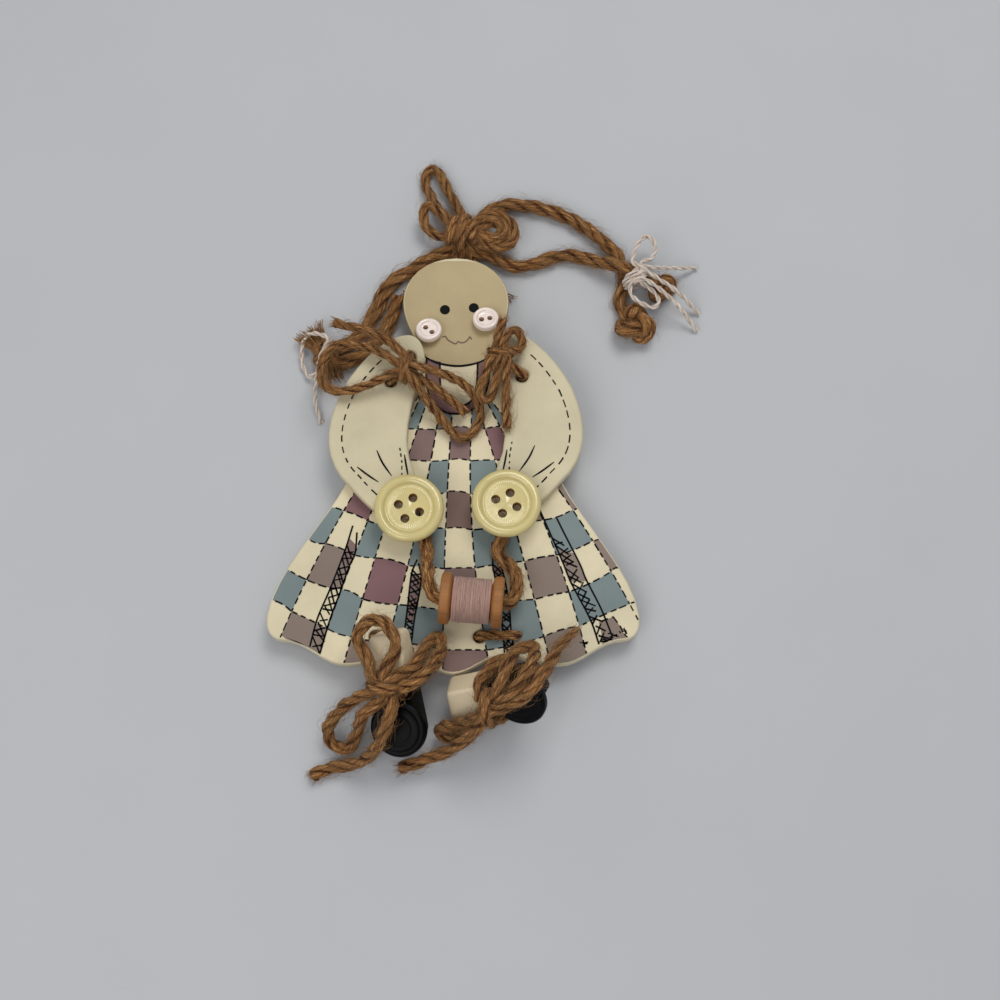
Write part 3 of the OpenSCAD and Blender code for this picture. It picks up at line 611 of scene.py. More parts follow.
def overhand(centre, along, up, size, height):
    """The route of a tight overhand knot, which is a trefoil."""
    along = unit(np.array(along, float))
    up = np.array(up, float)
    side = np.cross(up, along)
    t = np.linspace(0.3, 2 * math.pi - 0.3, 40)[:, None]
    x = (np.sin(t) + 2 * np.sin(2 * t)) / 3 * size
    y = (np.cos(t) - 2 * np.cos(2 * t)) / 3 * size
    z = -np.sin(3 * t) * height
    return np.array(centre) + along * x + side * y + up * z


# Where a bow's cords pass through its knot, in thicknesses: below the middle, then above it by a step each
KNOT_BELOW = 0.45
KNOT_ABOVE, KNOT_STEP = 0.1, 0.4


def bow(name, body, knot, axis, up, runs, d, seed, nodes):
    """A tied bow: each run is a loop and the tail that its cord ends in, and a wrap holds them."""
    knot, up = np.array(knot, float), np.array(up, float)
    turns = wraps(knot, axis, up, across_r=1.15 * d, up_r=d, turns=1.5, step=0.95 * d)
    wrap, _ = jute_piece(name + "_knot", turns, d, seed)
    dress(wrap, body, "jute", nodes[0])
    for i, (loop, tail) in enumerate(runs):
        through = knot + up * (KNOT_ABOVE + KNOT_STEP * i) * d
        route = [knot - up * KNOT_BELOW * d, *loop, through, *tail]
        piece = f"{name}_{i + 1}"
        held = [wrap] if i == 0 else []
        looks = {"frayed": (False, True), "thin": THIN_TAILS.get(piece, 0)}
        jute_cord(piece, body, nodes[1], route, d, seed + 5 + i, knot, "bare", held, **looks)


def raised(points, z):
    return [(x, y, h + z) for x, y, h in points]


UP = (0, 0, 1)
# Thickness of each kind of cord
LASH_D = 2.2
LASHING_D = LASH_D * 0.9
BOW_D = 2.05
ANKLE_D = 2.7
KNOT_D = 2.8
LOOP_D = 2.3
HAIR_D = {"left": 3.4, "right": 3.0}
HAND_CORD_D = 3.0
RIBBON_D = 1.1
# Bow cords whose tail tapers, and over what length
THIN_TAILS = {"ankle_cord_right_2": 13}

add_camera()
add_light()

# Shoulder lashings and bows

LASH_HOLES = {
    "left": ((-10.6, 32.9), (-14.9, 27.0)),
    "right": ((11.4, 34.1), (15.7, 28.2)),
}
SHOULDER_KNOT = {"left": (-11.5, 28.5, ARM_Z + 3.44), "right": (10.5, 32.0, ARM_Z + 3.44)}
SHOULDER_AXIS = {"left": (0.95, -0.3, 0), "right": (0.1, 1, 0)}
SHOULDER_RUNS = {
    "left": (
        (
            [(-13.1, 29.9, 4.5), (-19, 33.5, 3.6), (-25.5, 35, 3.2), (-29.5, 33, 2.8), (-31, 29, 2.4),
             (-30, 25, 2.2), (-25.5, 23.5, 2.4), (-19, 25.2, 3.4), (-13.4, 27.6, 4.5)],
            [(-9.6, 27.7, 2.4), (-4.5, 24.6, 1.8), (0, 21.5, 0.2), (2.4, 19.4, -1)],
        ),
        (
            [(-9.5, 29, 4.5), (-2, 27.5, 2.6), (3, 25, 0.8), (6, 20.5, -1), (5, 16, -1.8), (2, 13.5, -2),
             (-1.5, 16, -1.6), (-6, 21.5, 1.2), (-10.4, 26.7, 4.5)],
            [(-11.1, 30.6, 4.5), (-14.4, 34.4, 4.8), (-19.5, 37.2, 5), (-24, 38.4, 5), (-28, 39.5, 4.8)],
        ),
    ),
    "right": (
        (
            [(11.2, 34.1, 4.5), (12.3, 36.8, 3.8), (13.4, 38.3, 3.2), (15, 37.8, 3), (15.8, 35.2, 3),
             (14.9, 33.2, 3.6), (12.6, 32.8, 4.5)],
            [(12.1, 30.9, 4.5), (12, 25.5, 3), (12, 19, 1.6), (12.2, 15, 1.4)],
        ),
        (
            [(8.7, 30.9, 4.5), (7, 27, 3), (5.9, 23.8, 2), (6.7, 22, 1.6), (8.3, 22.3, 1.6), (9.3, 25, 2.4),
             (10.3, 29.9, 4.5)],
            [(9.6, 33.6, 2.4), (10.2, 37, 3.2), (11.4, 40.8, 4)],
        ),
    ),
}
# How far from a hole a cord has turned flat against the board
BEND = 0.9


def lashing_route(side):
    """From the knot down one hole, along the back of the board, up the other hole and back."""
    a, b = (np.array(p) for p in LASH_HOLES[side])
    knot = np.array(SHOULDER_KNOT[side]) - (0, 0, 1.1)
    along = unit(b - a)
    low, inside, top = LASH_D / 2, ARM_Z - 0.8, ARM_Z + LASH_D / 2 + 0.4
    down = [(*a, top), (*a, inside), (*a, low + BEND), (*(a + BEND * along), low)]
    back_up = [(*(b - BEND * along), low), (*b, low + BEND), (*b, inside), (*b, top)]
    return [knot, *down, *back_up, knot]


def add_shoulders():
    for seed, side in ((100, "left"), (140, "right")):
        runs = [(raised(loop, ARM_Z), raised(tail, ARM_Z)) for loop, tail in SHOULDER_RUNS[side]]
        nodes = (f"shoulder_knot_{side}", f"shoulder_bow_{side}")
        knot, axis = SHOULDER_KNOT[side], SHOULDER_AXIS[side]
        bow(f"shoulder_cord_{side}", "doll", knot, axis, UP, runs, BOW_D, seed, nodes)
        route = lashing_route(side)
        lashing, _ = jute_piece(f"lashing_{side}", route, LASHING_D, seed + 30, fuzz=LITTLE_FUZZ)
        dress(lashing, "doll", "jute", f"arm_lashing_{side}")


# The cord from hand to hand

HAND_ROUTE = [
    (-7.6, -7.8, 7.95), (-6.6, -10.6, 7.95), (-6, -13.2, 7.95), (-5.8, -16.5, 9.45), (-5.4, -19.8, 11.4),
    (-5.1, -22.4, 12.4), (-4.5, -24.2, 12.4), (-2.67, -24.99, 12.4), (1.51, -25.36, 12.4),
    (7.09, -25.84, 12.4), (11.27, -26.21, 12.4), (13.2, -25.8, 12.4), (14, -24.2, 12.4), (14.3, -21.6, 11.8),
    (13.7, -18.4, 10.15), (11.4, -15.4, 8.55), (10.4, -14.2, 8.05), (10.2, -13.2, 7.95),
    (10.8, -10.6, 7.95), (11.6, -7.8, 7.95),
]


def add_hand_cord():
    cord, path = jute_piece("hand_cord_jute", HAND_ROUTE, HAND_CORD_D, 200)
    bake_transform(cord)
    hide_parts("hand_cord", "hand_cord_end_left", "hand_cord_end_right")


add_shoulders()
add_hand_cord()


# Legs: blocks, shoes, hem stitches and ankle bows


def leg_frame(place, heading, tilt, roll):
    """A leg's own frame: it hangs from its place along -Y, and its shoe faces +Z."""
    turn = Matrix.Rotation(math.radians(heading), 4, "Z")
    turn @= Matrix.Rotation(math.radians(tilt), 4, "X")
    turn @= Matrix.Rotation(math.radians(roll), 4, "Y")
    return np.array(Matrix.Translation(place) @ turn)


def carried(matrix, points):
    """Points given in a frame, moved to the part's frame."""
    points = np.array(points, float)
    return points @ matrix[:3, :3].T + matrix[:3, 3]


LEGS = {
    "left": leg_frame((-14, -32.8, FACE_Z + 7.5), 12, 18, -20),
    "right": leg_frame((-0.6, -46.4, 4.7), 96, -34, -40),
}
LEG_L = 24
LEG_HALF = 3.65
SHOE_DROP = 20.5
ANKLE_DROP = {"left": 10.6, "right": 12.2}
ANKLE_KNOT = {"left": (0, -10.6, 6.27), "right": (1, -15.3, 8.6)}
ANKLE_AXIS = {"left": (0.25, 1, 0), "right": (0.45, 1, 0)}
ANKLE_RUNS = {
    "left": (
        (
            [(-2.3, -8.5, 7.7), (-3.1, -4.1, 6.8), (-4.8, -0.2, 6), (-3.6, 2.6, 5.4), (-0.7, 3.8, 5),
             (2.4, 2.2, 5.6), (3.5, -2.9, 6), (0.2, -7.5, 7.7)],
            [(0.9, -13.8, 8), (0.3, -16.8, 9.5), (-2.2, -20.5, 9.7), (-5.7, -24.1, 8), (-10.1, -26.5, 4.6),
             (-14.4, -27.6, 2.9), (-18.4, -27.8, 2.9), (-21.2, -28.1, 4), (-22.9, -28.7, 4.8)],
        ),
        (
            [(-3.1, -11.1, 7.7), (-8.2, -12.6, 6.7), (-13.6, -15.2, 4.4), (-17.8, -19.2, 2.8),
             (-17.4, -23.2, 2), (-14, -24, 1.8), (-10.2, -20.2, 4), (-6.4, -15.7, 7.1), (-1.5, -13.3, 7.7)],
            [(2.5, -8.8, 7.7), (5.5, -8, 3.9), (6.4, -6.3, -1), (7.5, -4.2, -5.2), (9.3, -4.1, -6.3),
             (9.9, -6.4, -4.1), (9, -8.9, 1.5), (6.6, -10.6, 6.1), (3, -11.5, 7.7)],
        ),
    ),
    "right": (
        (
            [(3.3, -17.6, 8.9), (5.8, -20.2, 8.5), (8.5, -22.3, 6.5), (9.1, -23, 1.7), (7.7, -23.7, -2.4),
             (6.3, -24.9, -2.8), (6.4, -26.5, 3.9), (4.9, -24.1, 8.5), (2.9, -19.8, 9.6)],
            [(-0.3, -13.7, 10.4), (-2.8, -9.9, 10.6), (-5.8, -3.7, 10), (-7.3, 2.4, 10.3), (-7.2, 7.3, 12),
             (-6.5, 10.8, 14.1)],
        ),
        (
            [(0.4, -13.1, 9.4), (-1.4, -8, 8.1), (-2.6, -2.6, 6.7), (-3.3, 1.2, 5.8), (-4.6, 2.8, 5.5),
             (-6.3, 1.8, 5.5), (-6, -1.8, 6.2), (-4.1, -6.6, 7.7), (-1.1, -12.1, 9.3)],
            [(1.2, -19.8, 9.4), (2.4, -24.5, 9), (4, -28, 7.6), (4.8, -29.3, 2.2), (4.8, -29.9, -4.6),
             (4, -30.7, -11.6)],
        ),
    ),
}
ANKLE_RISE = {"left": 0, "right": 1}
ANKLE_SLANT = {"left": 0, "right": 2.6}
HEM_X = {"left": (-17.5, -10.5), "right": (6, 14.5)}
HEM_OUT = {"left": (-17.5, -36.2, 1.1), "right": (8.8, -36.4, 1.1)}
LEG_CORD = {
    "left": [(1.2, -5.1, -5.3), (1.5, -7, -4.95), (1.2, -9.4, -5.05)],
    "right": [(-1, -6.9, -10.3), (-1.6, -8, -8.2), (-1.4, -9.6, -6.2), (-1, -10.8, -5.05)],
}
HEM_Y = -32.6
HEM_Z = FACE_Z + LASH_D / 2 + 0.1


def ankle_wrap_route(side):
    """Once round the leg, from one side of the knot to the other."""
    out = LEG_HALF + ANKLE_D / 2 + 0.05
    c = out - 1.6
    gap = ANKLE_D / 2 + 0.3
    half = [(gap, out + ANKLE_RISE[side]), (c, out), (out, c), (out, -c), (c, -out)]
    ring = half + [(-x, z) for x, z in reversed(half)]
    slant = ANKLE_SLANT[side] / (2 * out)
    return carried(LEGS[side], [(x, -ANKLE_DROP[side] - slant * (out - z), z) for x, z in ring])


def hem_route(side):
    """From the end behind the board, through the hem and along its front, out below and to the ankle."""
    a, b = HEM_X[side]
    low = LASH_D / 2
    stitch = [
        (b - 2.5, HEM_Y + 2.4, low), (b - 0.4, HEM_Y + 0.9, low),
        (b, HEM_Y, low + BEND), (b, HEM_Y, HEM_Z - BEND), (b - BEND, HEM_Y, HEM_Z),
        (a + BEND, HEM_Y, HEM_Z), (a, HEM_Y, HEM_Z - BEND), (a, HEM_Y, low + BEND),
        (a, HEM_Y - BEND, low), HEM_OUT[side],
    ]
    return np.vstack([stitch, carried(LEGS[side], LEG_CORD[side])])


# How far down the worn top corner of each leg reaches, and how the sticks' edges and ends are eased
WORN = {"left": 0.3, "right": 2.6}
WORN_REACH = 4
LEG_EDGE = 0.8
LEG_END = [(0, 0.7), (-0.12, 0.82), (-0.45, 0.92), (-1.0, 0.975), (-1.7, 1.0)]
BLACK_FROM = -12.4
RAGGED = 0.25


def leg_outline():
    """A square with rounded corners, once round."""
    inner = LEG_HALF - LEG_EDGE
    outline = []
    for k, (sx, sz) in enumerate(((1, 1), (-1, 1), (-1, -1), (1, -1))):
        for a in np.radians(np.arange(0, 91, 18)) + k * math.pi / 2:
            outline.append((sx * inner + LEG_EDGE * math.cos(a), sz * inner + LEG_EDGE * math.sin(a)))
    return np.array(outline).T


def leg_block(side):
    """A square stick with a worn top corner, white above and black from the ankle down."""
    x, z = leg_outline()
    around = len(x)
    rng = np.random.default_rng(3)
    white = LEG_END + [(y, 1.0) for y in (-4, -7, -10, -11.6, BLACK_FROM)]
    black = [(y, 1.0) for y in (BLACK_FROM, -16, -20)] + [(-LEG_L - y, s) for y, s in reversed(LEG_END)]
    brush_line = BLACK_FROM + RAGGED * soft_noise(rng, around, 9)
    mesh = Mesh()
    for pick, part in enumerate((white, black)):
        rings = []
        for y, size in part:
            worn = WORN[side] * np.clip((x + z) * size / (2 * LEG_HALF), 0, 1)
            height = (brush_line if y == BLACK_FROM else y) - worn * np.clip(1 + y / WORN_REACH, 0, 1)
            rings.append(np.column_stack([x * size, height, z * size]))
        mesh.add(carried(LEGS[side], np.vstack(rings)), tube_faces(len(rings), around), pick)
    return mesh.piece(f"leg_stick_{side}", [leg_white, leg_black])


def lathe(mesh, profile, segments, pick=0, matrix=np.eye(4), caps=True):
    """Turn a profile of (radius, height) points about Z."""
    angle = np.linspace(0, 2 * math.pi, segments, endpoint=False)
    rings = []
    for r, z in profile:
        rings.append(np.column_stack([r * np.cos(angle), r * np.sin(angle), np.full(segments, z)]))
    faces = tube_faces(len(profile), segments)
    mesh.add(carried(matrix, np.vstack(rings)), faces if caps else faces[1:-1], pick)


# The share of a profile's shorter side that an eased corner takes
CORNER_SHARE = 0.42


def rounded(points, steps=6):
    """A profile through points, with its corners eased."""
    p = np.array(points, float)
    out = [p[0]]
    for a, b, c in zip(p, p[1:], p[2:]):
        reach = CORNER_SHARE * min(np.linalg.norm(b - a), np.linalg.norm(c - b))
        u, v = b + unit(a - b) * reach, b + unit(c - b) * reach
        t = np.linspace(0, 1, steps)[:, None]
        out.extend((1 - t) ** 2 * u + 2 * t * (1 - t) * b + t**2 * v)
    out.append(p[-1])
    return out


SHOE_PROFILE = [
    (0.01, 0), (5.75, 0), (6.35, 0.6), (6.35, 2.1), (5.85, 2.6), (5.2, 2.6), (4.7, 2.42), (3.9, 2.4),
    (3.6, 2.45), (3.2, 2.45), (2.9, 2.38), (0.01, 2.36),
]


def shoe_button(side):
    """A black sewing button with a raised rim and two rings turned in its face."""
    mesh = Mesh()
    matrix = LEGS[side] @ np.array(Matrix.Translation((0, -SHOE_DROP, LEG_HALF)))
    lathe(mesh, rounded(SHOE_PROFILE), 80, 0, matrix)
    return mesh.piece(f"shoe_{side}", [button_black])


def add_legs():
    for seed, side in ((300, "left"), (340, "right")):
        body = f"{side}_leg"
        matrix = LEGS[side]
        dress(leg_block(side), body, "leg_wood", f"leg_{side}")
        dress(shoe_button(side), body, "black_button", f"shoe_button_{side}")
        wrap, _ = jute_piece(f"ankle_jute_{side}", ankle_wrap_route(side), ANKLE_D, seed)
        dress(wrap, body, "jute", f"ankle_wrap_{side}")
        up = matrix[:3, 2]
        axis = matrix[:3, :3] @ np.array(ANKLE_AXIS[side])
        knot = carried(matrix, [ANKLE_KNOT[side]])[0]
        runs = [(carried(matrix, loop), carried(matrix, tail)) for loop, tail in ANKLE_RUNS[side]]
        nodes = (f"ankle_knot_{side}", f"ankle_bow_{side}")
        bow(f"ankle_cord_{side}", body, knot, axis, up, runs, ANKLE_D, seed + 3, nodes)
        hem, _ = jute_piece(f"hem_jute_{side}", hem_route(side), LASH_D, seed + 20, fuzz=1.2)
        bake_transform(hem)
        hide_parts(f"hem_stitch_{side}", f"leg_cord_{side}")


add_legs()

# Hair: band, topknot, hanging loop and pigtails

CROWN = np.array([0, high_mm("body_board")[1]])
BAND_CENTRE = CROWN - (0, 11.7)
TOPKNOT = np.array([1.5, 67.6, 3.5])
TOPKNOT_LOOPS = (
    [(-1.6, 69.4, 5.2), (-4.4, 72.4, 5.8), (-6.6, 74, 5.6), (-8.2, 72.4, 5), (-7.6, 69, 4.4), (-5, 66.8, 4),
     (-2.2, 66.4, 3.8)],
    [(4.4, 69.2, 5.8), (7.8, 71, 6.4), (11.6, 70.6, 6.4), (13.9, 67.8, 6), (13.8, 64.6, 5.6),
     (11.2, 62.8, 5.5), (8, 63.4, 5.4), (4.8, 66, 5.2)],
)
TOPKNOT_BALL = (
    [(5.5, 67.6, 6.2), (8.6, 68.9, 7.2), (11, 67.8, 7), (11, 65.6, 6.6), (8.8, 64.9, 6.4), (5.4, 66.6, 5.6)],
    [(6, 70.2, 5), (9.6, 69.6, 5.6), (12.2, 66.6, 5.4), (9.4, 64.2, 4.6), (5, 64.6, 4)],
)
HANGING = [
    (-1.2, 70.2, 2.4), (-4.6, 74.6, 2.2), (-7.4, 80, 1.8), (-8, 83.8, 1.6), (-6.1, 86, 1.6),
    (-3.9, 83.4, 1.8), (-1.4, 78, 2), (1.8, 71.4, 2.4),
]
PIGTAIL_LEFT = (
    [(-2.2, 63.4, 1.9), (-5.4, 61.9, 1.9), (-8.8, 59.9, 1.9), (-12.2, 57.8, 1.9), (-15.5, 55.4, 1.9),
     (-17.9, 52.2, 1.9), (-19.2, 48.6, 1.9), (-20.8, 45, 1.9), (-22.8, 41.6, 1.9), (-25.6, 39.4, 1.9),
     (-29, 37.8, 1.9)],
    [(-13.9, 51.6, 1.9), (-14.9, 49, 1.9), (-15.8, 46, 1.9), (-17, 42.8, 1.9), (-18.9, 39.7, 1.9),
     (-22.8, 36.4, 1.9), (-28.2, 34.1, 1.9)],
)
PIGTAIL_RIGHT = (
    [(4.8, 70.2, 2.2), (8, 74, 2.2), (13.5, 76, 2.1), (21.5, 74.8, 1.9), (28.6, 71.8, 1.9),
     (34.6, 67.2, 1.9), (39.5, 62, 1.9), (41, 56, 1.9), (39.6, 50.6, 1.9), (40.6, 46.8, 2.4)],
    [(4.6, 63.6, 1.9), (8, 62.4, 1.9), (11.4, 60.6, 1.9), (14.6, 59.5, 1.9), (17.8, 59.7, 1.9),
     (21.4, 61, 1.9), (25, 62.3, 1.9), (29, 62.2, 1.9), (34, 60.4, 2.8), (38.6, 58.4, 5.1),
     (43.4, 56.2, 5.8), (46.6, 54.8, 4.4)],
)
KNOT_LEFT = (-31.4, 36.4, 2.7)
BRUSH_LEFT = (-33.4, 38.2, 2.7)
KNOTS_RIGHT = ((43.2, 43.6, 3.4), (49.6, 53.6, 2.7))
THREAD_LEFT = (
    [(-30.2, 38.6, 6.2), (-34, 40.8, 4.8), (-36.6, 39.6, 3), (-37, 35, 1.6), (-35, 31, 1.6),
     (-31.4, 33, 5.4)],
    [(-32, 33.4, 6.4), (-33.6, 26, 2), (-32, 19.5, 0.6)],
)
THREAD_RIGHT = (
    [(42.4, 57.8, 8.1), (43, 60.5, 7.8), (44.5, 64, 6.8), (46.6, 65.4, 6), (48.4, 62.8, 6),
     (47.2, 59.4, 6.8), (44.6, 57.8, 8.1)],
    [(42.6, 53.4, 7.6), (41.9, 50, 6.8), (46.2, 46.8, 6.8), (48.4, 47.4, 6.8), (48.2, 49.6, 6.8),
     (46.2, 51.6, 7.2), (44, 53.2, 7.8)],
    [(45.6, 56.4, 8.6), (52, 57.6, 5), (59, 59.6, 0.6)],
    [(46.2, 54.8, 8.8), (53.6, 51, 5.4), (59, 47.4, 0.6)],
    [(45.4, 52.6, 9.4), (52.4, 48.4, 6), (58.4, 43, 0.6)],
)
THREAD_KNOT_RIGHT = (44.6, 55.4, 8.6)
BAND_D = 2.1
BAND_Z = 1.15
# The band's strands: radius about the crown's centre, and first and last angle in degrees
BAND_STRANDS = ((10.4, 12, 164), (8.5, 16, 160))


def band_arc(radius, start, end):
    """Part of a circle behind the crown, between two angles in degrees."""
    a = np.radians(np.arange(start, end + 1, 8))
    x, y = BAND_CENTRE
    return np.column_stack([x + radius * np.cos(a), y + radius * np.sin(a), 0 * a + BAND_Z])


TUFT_R = 0.11
TUFT_WIDE, TUFT_HIGH = 1.2, 1.1


def fray(mesh, seed, start, ahead, wide, reach, count):
    """A brush of loose fibres, as at the end of a strand that has come apart."""
    rng = np.random.default_rng(seed)
    start, ahead = np.array(start, float), unit(np.array(ahead, float))
    up = np.array(UP)
    side = np.cross(ahead, UP)
    t = np.linspace(0, 1, 6)[:, None]
    for _ in range(count):
        a, b = rng.uniform(-1, 1, 2)
        root = start + side * a * TUFT_WIDE + up * b * TUFT_HIGH
        run = ahead + side * (a * wide + rng.uniform(-0.12, 0.12)) + up * rng.uniform(-0.25, 0.25)
        fibre = root + run * rng.uniform(0.6, 1) * reach * t
        fibre += side * rng.uniform(-0.5, 0.5) * np.sin(math.pi * t)
        fibre[:, 2] = np.maximum(fibre[:, 2], 0.1)
        pick = int(rng.uniform() > 0.6)
        mesh.tube(fibre, TUFT_R * np.linspace(1, 0.5, 6), 4, pick, rng.uniform(0, LAY_SPAN))


# Where the band's ends come out beside the head, in degrees, and how far their tufts lean from there
EAR_TURNS = {"left": 164, "right": 18}
EAR_LEAN = {"left": 0, "right": -55}
EAR_OUT = 12.3


def add_hair_band():
    """Two strands of jute behind the crown, with a short frayed end out to each side."""
    mesh = Mesh()
    for i, strand in enumerate(BAND_STRANDS):
        twine(mesh, band_arc(*strand), BAND_D, 400 + i, fuzz=LITTLE_FUZZ)
    for seed, side in ((402, "left"), (403, "right")):
        turn = np.radians(EAR_TURNS[side])
        lean = np.radians(EAR_TURNS[side] + EAR_LEAN[side])
        out = np.array([math.cos(turn), math.sin(turn)])
        route = [(*(BAND_CENTRE + out * r), BAND_Z) for r in (8.6, 11, EAR_OUT)]
        twine(mesh, route, BAND_D, seed, fuzz=LITTLE_FUZZ)
        start = (*(BAND_CENTRE + out * (EAR_OUT - 0.6)), 1.3)
        fray(mesh, seed + 2, start, (math.cos(lean), math.sin(lean), 0), wide=0.4, reach=3.2, count=30)
    jute_on_doll(mesh, "hair_band_jute", "hair_band")


STEM_X = (-0.9, 1.5, 3.9)
STEM_D = 2.0


def add_topknot():
    """The knot with its stem and ball, the two loops beside it and the hanging loop."""
    stem = [[(x, 58.9, BAND_Z), (x, 61, BAND_Z), (1.5 + 0.5 * (x - 1.5), 64.6, 2.2)] for x in STEM_X]
    held = wraps(TOPKNOT + (0, 0, 0.4), (1, -0.45, 0), UP, across_r=3.3, up_r=2.7, turns=2.2, step=2.5)
    middle = TOPKNOT + (0.4, -0.6, 0.5)
    crossing = wraps(middle, (0.7, 1, 0), UP, across_r=2.9, up_r=2.4, turns=1.3, step=2.2)
    ball = [[TOPKNOT, *points] for points in TOPKNOT_BALL]
    mesh = Mesh()
    for i, route in enumerate(stem):
        twine(mesh, route, STEM_D, 415 + i)
    for i, route in enumerate((held, crossing, *ball)):
        twine(mesh, route, KNOT_D, 420 + i)
    knot = jute_on_doll(mesh, "topknot_jute", "topknot")
    left, right = TOPKNOT_LOOPS
    loops = [TOPKNOT + (0, 0, 0.6), *left, TOPKNOT + (0, 0, -0.4), *right, TOPKNOT + (0, 0, 0.9)]
    hanging = [TOPKNOT - (0.2, 0, 1), *HANGING, TOPKNOT - (-0.4, 0, 1)]
    for seed, node, route, pieces in (
        (430, "topknot_loops", loops, [knot]),
        (440, "hanging_loop", hanging, []),
    ):
        jute_cord(f"{node}_jute", "doll", node, route, LOOP_D, seed, TOPKNOT, "object", pieces)


def add_pigtails():
    """Two strands on each side, knotted at their ends; the left ones come apart past their knot."""
    mesh = Mesh()
    twine(mesh, overhand(KNOT_LEFT, (-1, -0.5, 0), UP, size=2.2, height=1.1), KNOT_D, 450)
    fray(mesh, 451, (-32.5, 37.6, 2.6), (-0.55, 0.85, 0), wide=0.5, reach=6.5, count=190)
    fray(mesh, 452, (-30.6, 34.4, 2.4), (0.2, -1, 0), wide=0.35, reach=6, count=110)
    knots = {"left": jute_on_doll(mesh, "pigtail_knot_left_jute", "pigtail_knot_left")}
    mesh = Mesh()
    big, small = KNOTS_RIGHT
    twine(mesh, overhand(big, (0.35, -1, 0), UP, size=3.4, height=1.6), 3.7, 455)
    twine(mesh, overhand(small, (1, -0.3, 0), UP, size=2.6, height=1.2), 3.1, 456)
    knots["right"] = jute_on_doll(mesh, "pigtail_knots_right_jute", "pigtail_knots_right")
    ends = {"left": ([KNOT_LEFT], [KNOT_LEFT, BRUSH_LEFT]), "right": [[k] for k in KNOTS_RIGHT]}
    for seed, side, routes in ((460, "left", PIGTAIL_LEFT), (480, "right", PIGTAIL_RIGHT)):
        node = f"pigtail_{side}"
        for i, route in enumerate(routes):
            root = [] if (side, i) == ("left", 1) else [TOPKNOT - (0, 0, 1.2)]
            whole = [*root, *route, *ends[side][i]]
            held = [knots[side]] if i == 0 else []
            name, d = f"{node}_{i + 1}", HAIR_D[side]
            jute_cord(name, "doll", node, whole, d, seed + i, route[0], "knot", held, fuzz=HAIR_FUZZ)


def thread_cord(name, route, seed, node):
    """One thin thread of two plies, put on the doll in place of its CAD node."""
    mesh = Mesh()
    path = twine(mesh, route, RIBBON_D, seed, plies=2, fuzz=0)
    thread = mesh.piece(name, [thread_pale])
    dress(thread, "doll", "pale_thread", node)


def add_thread_bows():
    """One thread at the left, from its turns to its tail, and two at the right: the bow, and its turns."""
    loop, tail = THREAD_LEFT
    tie = wraps((-31.2, 36.2, 3.4), (-0.9, 0.5, 0), UP, across_r=3.4, up_r=3.2, turns=1.1, step=0.9)
    thread_cord("thread_left", [*tie, *loop, *tail], 500, "thread_bow_left")
    loop_a, loop_b, tail_a, tail_b, tail_c = THREAD_RIGHT
    knot = THREAD_KNOT_RIGHT
    first = [*reversed(tail_a), *loop_a, knot, *loop_b, knot, *tail_b]
    tie = wraps((43.6, 54.6, 5.2), (0.5, -0.85, 0), UP, across_r=3.1, up_r=3.3, turns=2.2, step=1.1)
    second = [*tie, *tail_c]
    for i, route in enumerate((first, second)):
        thread_cord(f"thread_right_{i + 1}", route, 510 + i, "thread_bow_right")


add_hair_band()
add_topknot()
add_pigtails()
add_thread_bows()


# Board and sleeves

# Points this near are one, in metres, and the angles of a flat and of a sharp edge
WELD = 1e-6
SAME_PLANE = math.radians(1)
SHARP = math.radians(50)
# How far up a face looks, from -1 to 1: a level one, the back, and what lies between back and front
LEVEL = 0.999
BACK = -0.9
EDGE = (-0.5, 0.95)


def softened(node, name, materials, bevel, back=False, head_from=None):
    """A copy of a flat wooden node with its edges eased.

    The back may take the second material, and the edge above a height the third.
    """
    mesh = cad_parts[node].data.copy()
    mesh.materials.clear()
    work = bmesh.new()
    work.from_mesh(mesh)
    bmesh.ops.remove_doubles(work, verts=work.verts, dist=WELD)
    bmesh.ops.dissolve_limit(work, angle_limit=SAME_PLANE, verts=work.verts, edges=work.edges)
    sharp = [e for e in work.edges if len(e.link_faces) == 2 and e.calc_face_angle(0) > SHARP]
    bmesh.ops.bevel(work, geom=sharp, offset=bevel * MM, segments=3, profile=0.5, affect="EDGES")
    bmesh.ops.triangulate(work, faces=[f for f in work.faces if len(f.verts) > 4])
    for face in work.faces:
        looks_up = face.normal.z
        face.smooth = abs(looks_up) < LEVEL
        face.material_index = 1 if back and looks_up < BACK else 0
        if head_from and EDGE[0] < looks_up < EDGE[1] and face.calc_center_median().y > head_from * MM:
            face.material_index = 2
    work.to_mesh(mesh)
    work.free()
    mesh.name = name
    for material in materials:
        mesh.materials.append(material)
    obj = bpy.data.objects.new(name, mesh)
    bpy.context.scene.collection.objects.link(obj)
    return obj


CHIN_Y = 34.5
BOARD_BEVEL = 0.45
SLEEVE_BEVEL = 0.55


def add_boards():
    paints = [board_cream_lit, back_wood, head_paint]
    board = softened("body_board", "board", paints, BOARD_BEVEL, True, CHIN_Y)
    dress(board, "doll", "painted_wood", "body_board")
    for side in ("left", "right"):
        sleeve = softened(f"arm_{side}", f"sleeve_{side}", [cream_paint], SLEEVE_BEVEL)
        dress(sleeve, "doll", "painted_wood", f"arm_{side}")


# Painted dress: a checked patchwork that fans out from the waist

# The board's right edge and hem, read from its CAD node: how far down and out, in what steps
OUTLINE = {}
EDGE_DOWN_TO = -36
HEM_OUT_TO = 41.9
OUTLINE_STEP = 0.4
# The heights between which paint is kept off the board's edge
EDGE_HEIGHTS = (-40.5, 40)


def edge_x(y):
    """Half the board's width at a height."""
    edge = OUTLINE["right"]
    return np.interp(-np.asarray(y, float), -edge[:, 1], edge[:, 0])


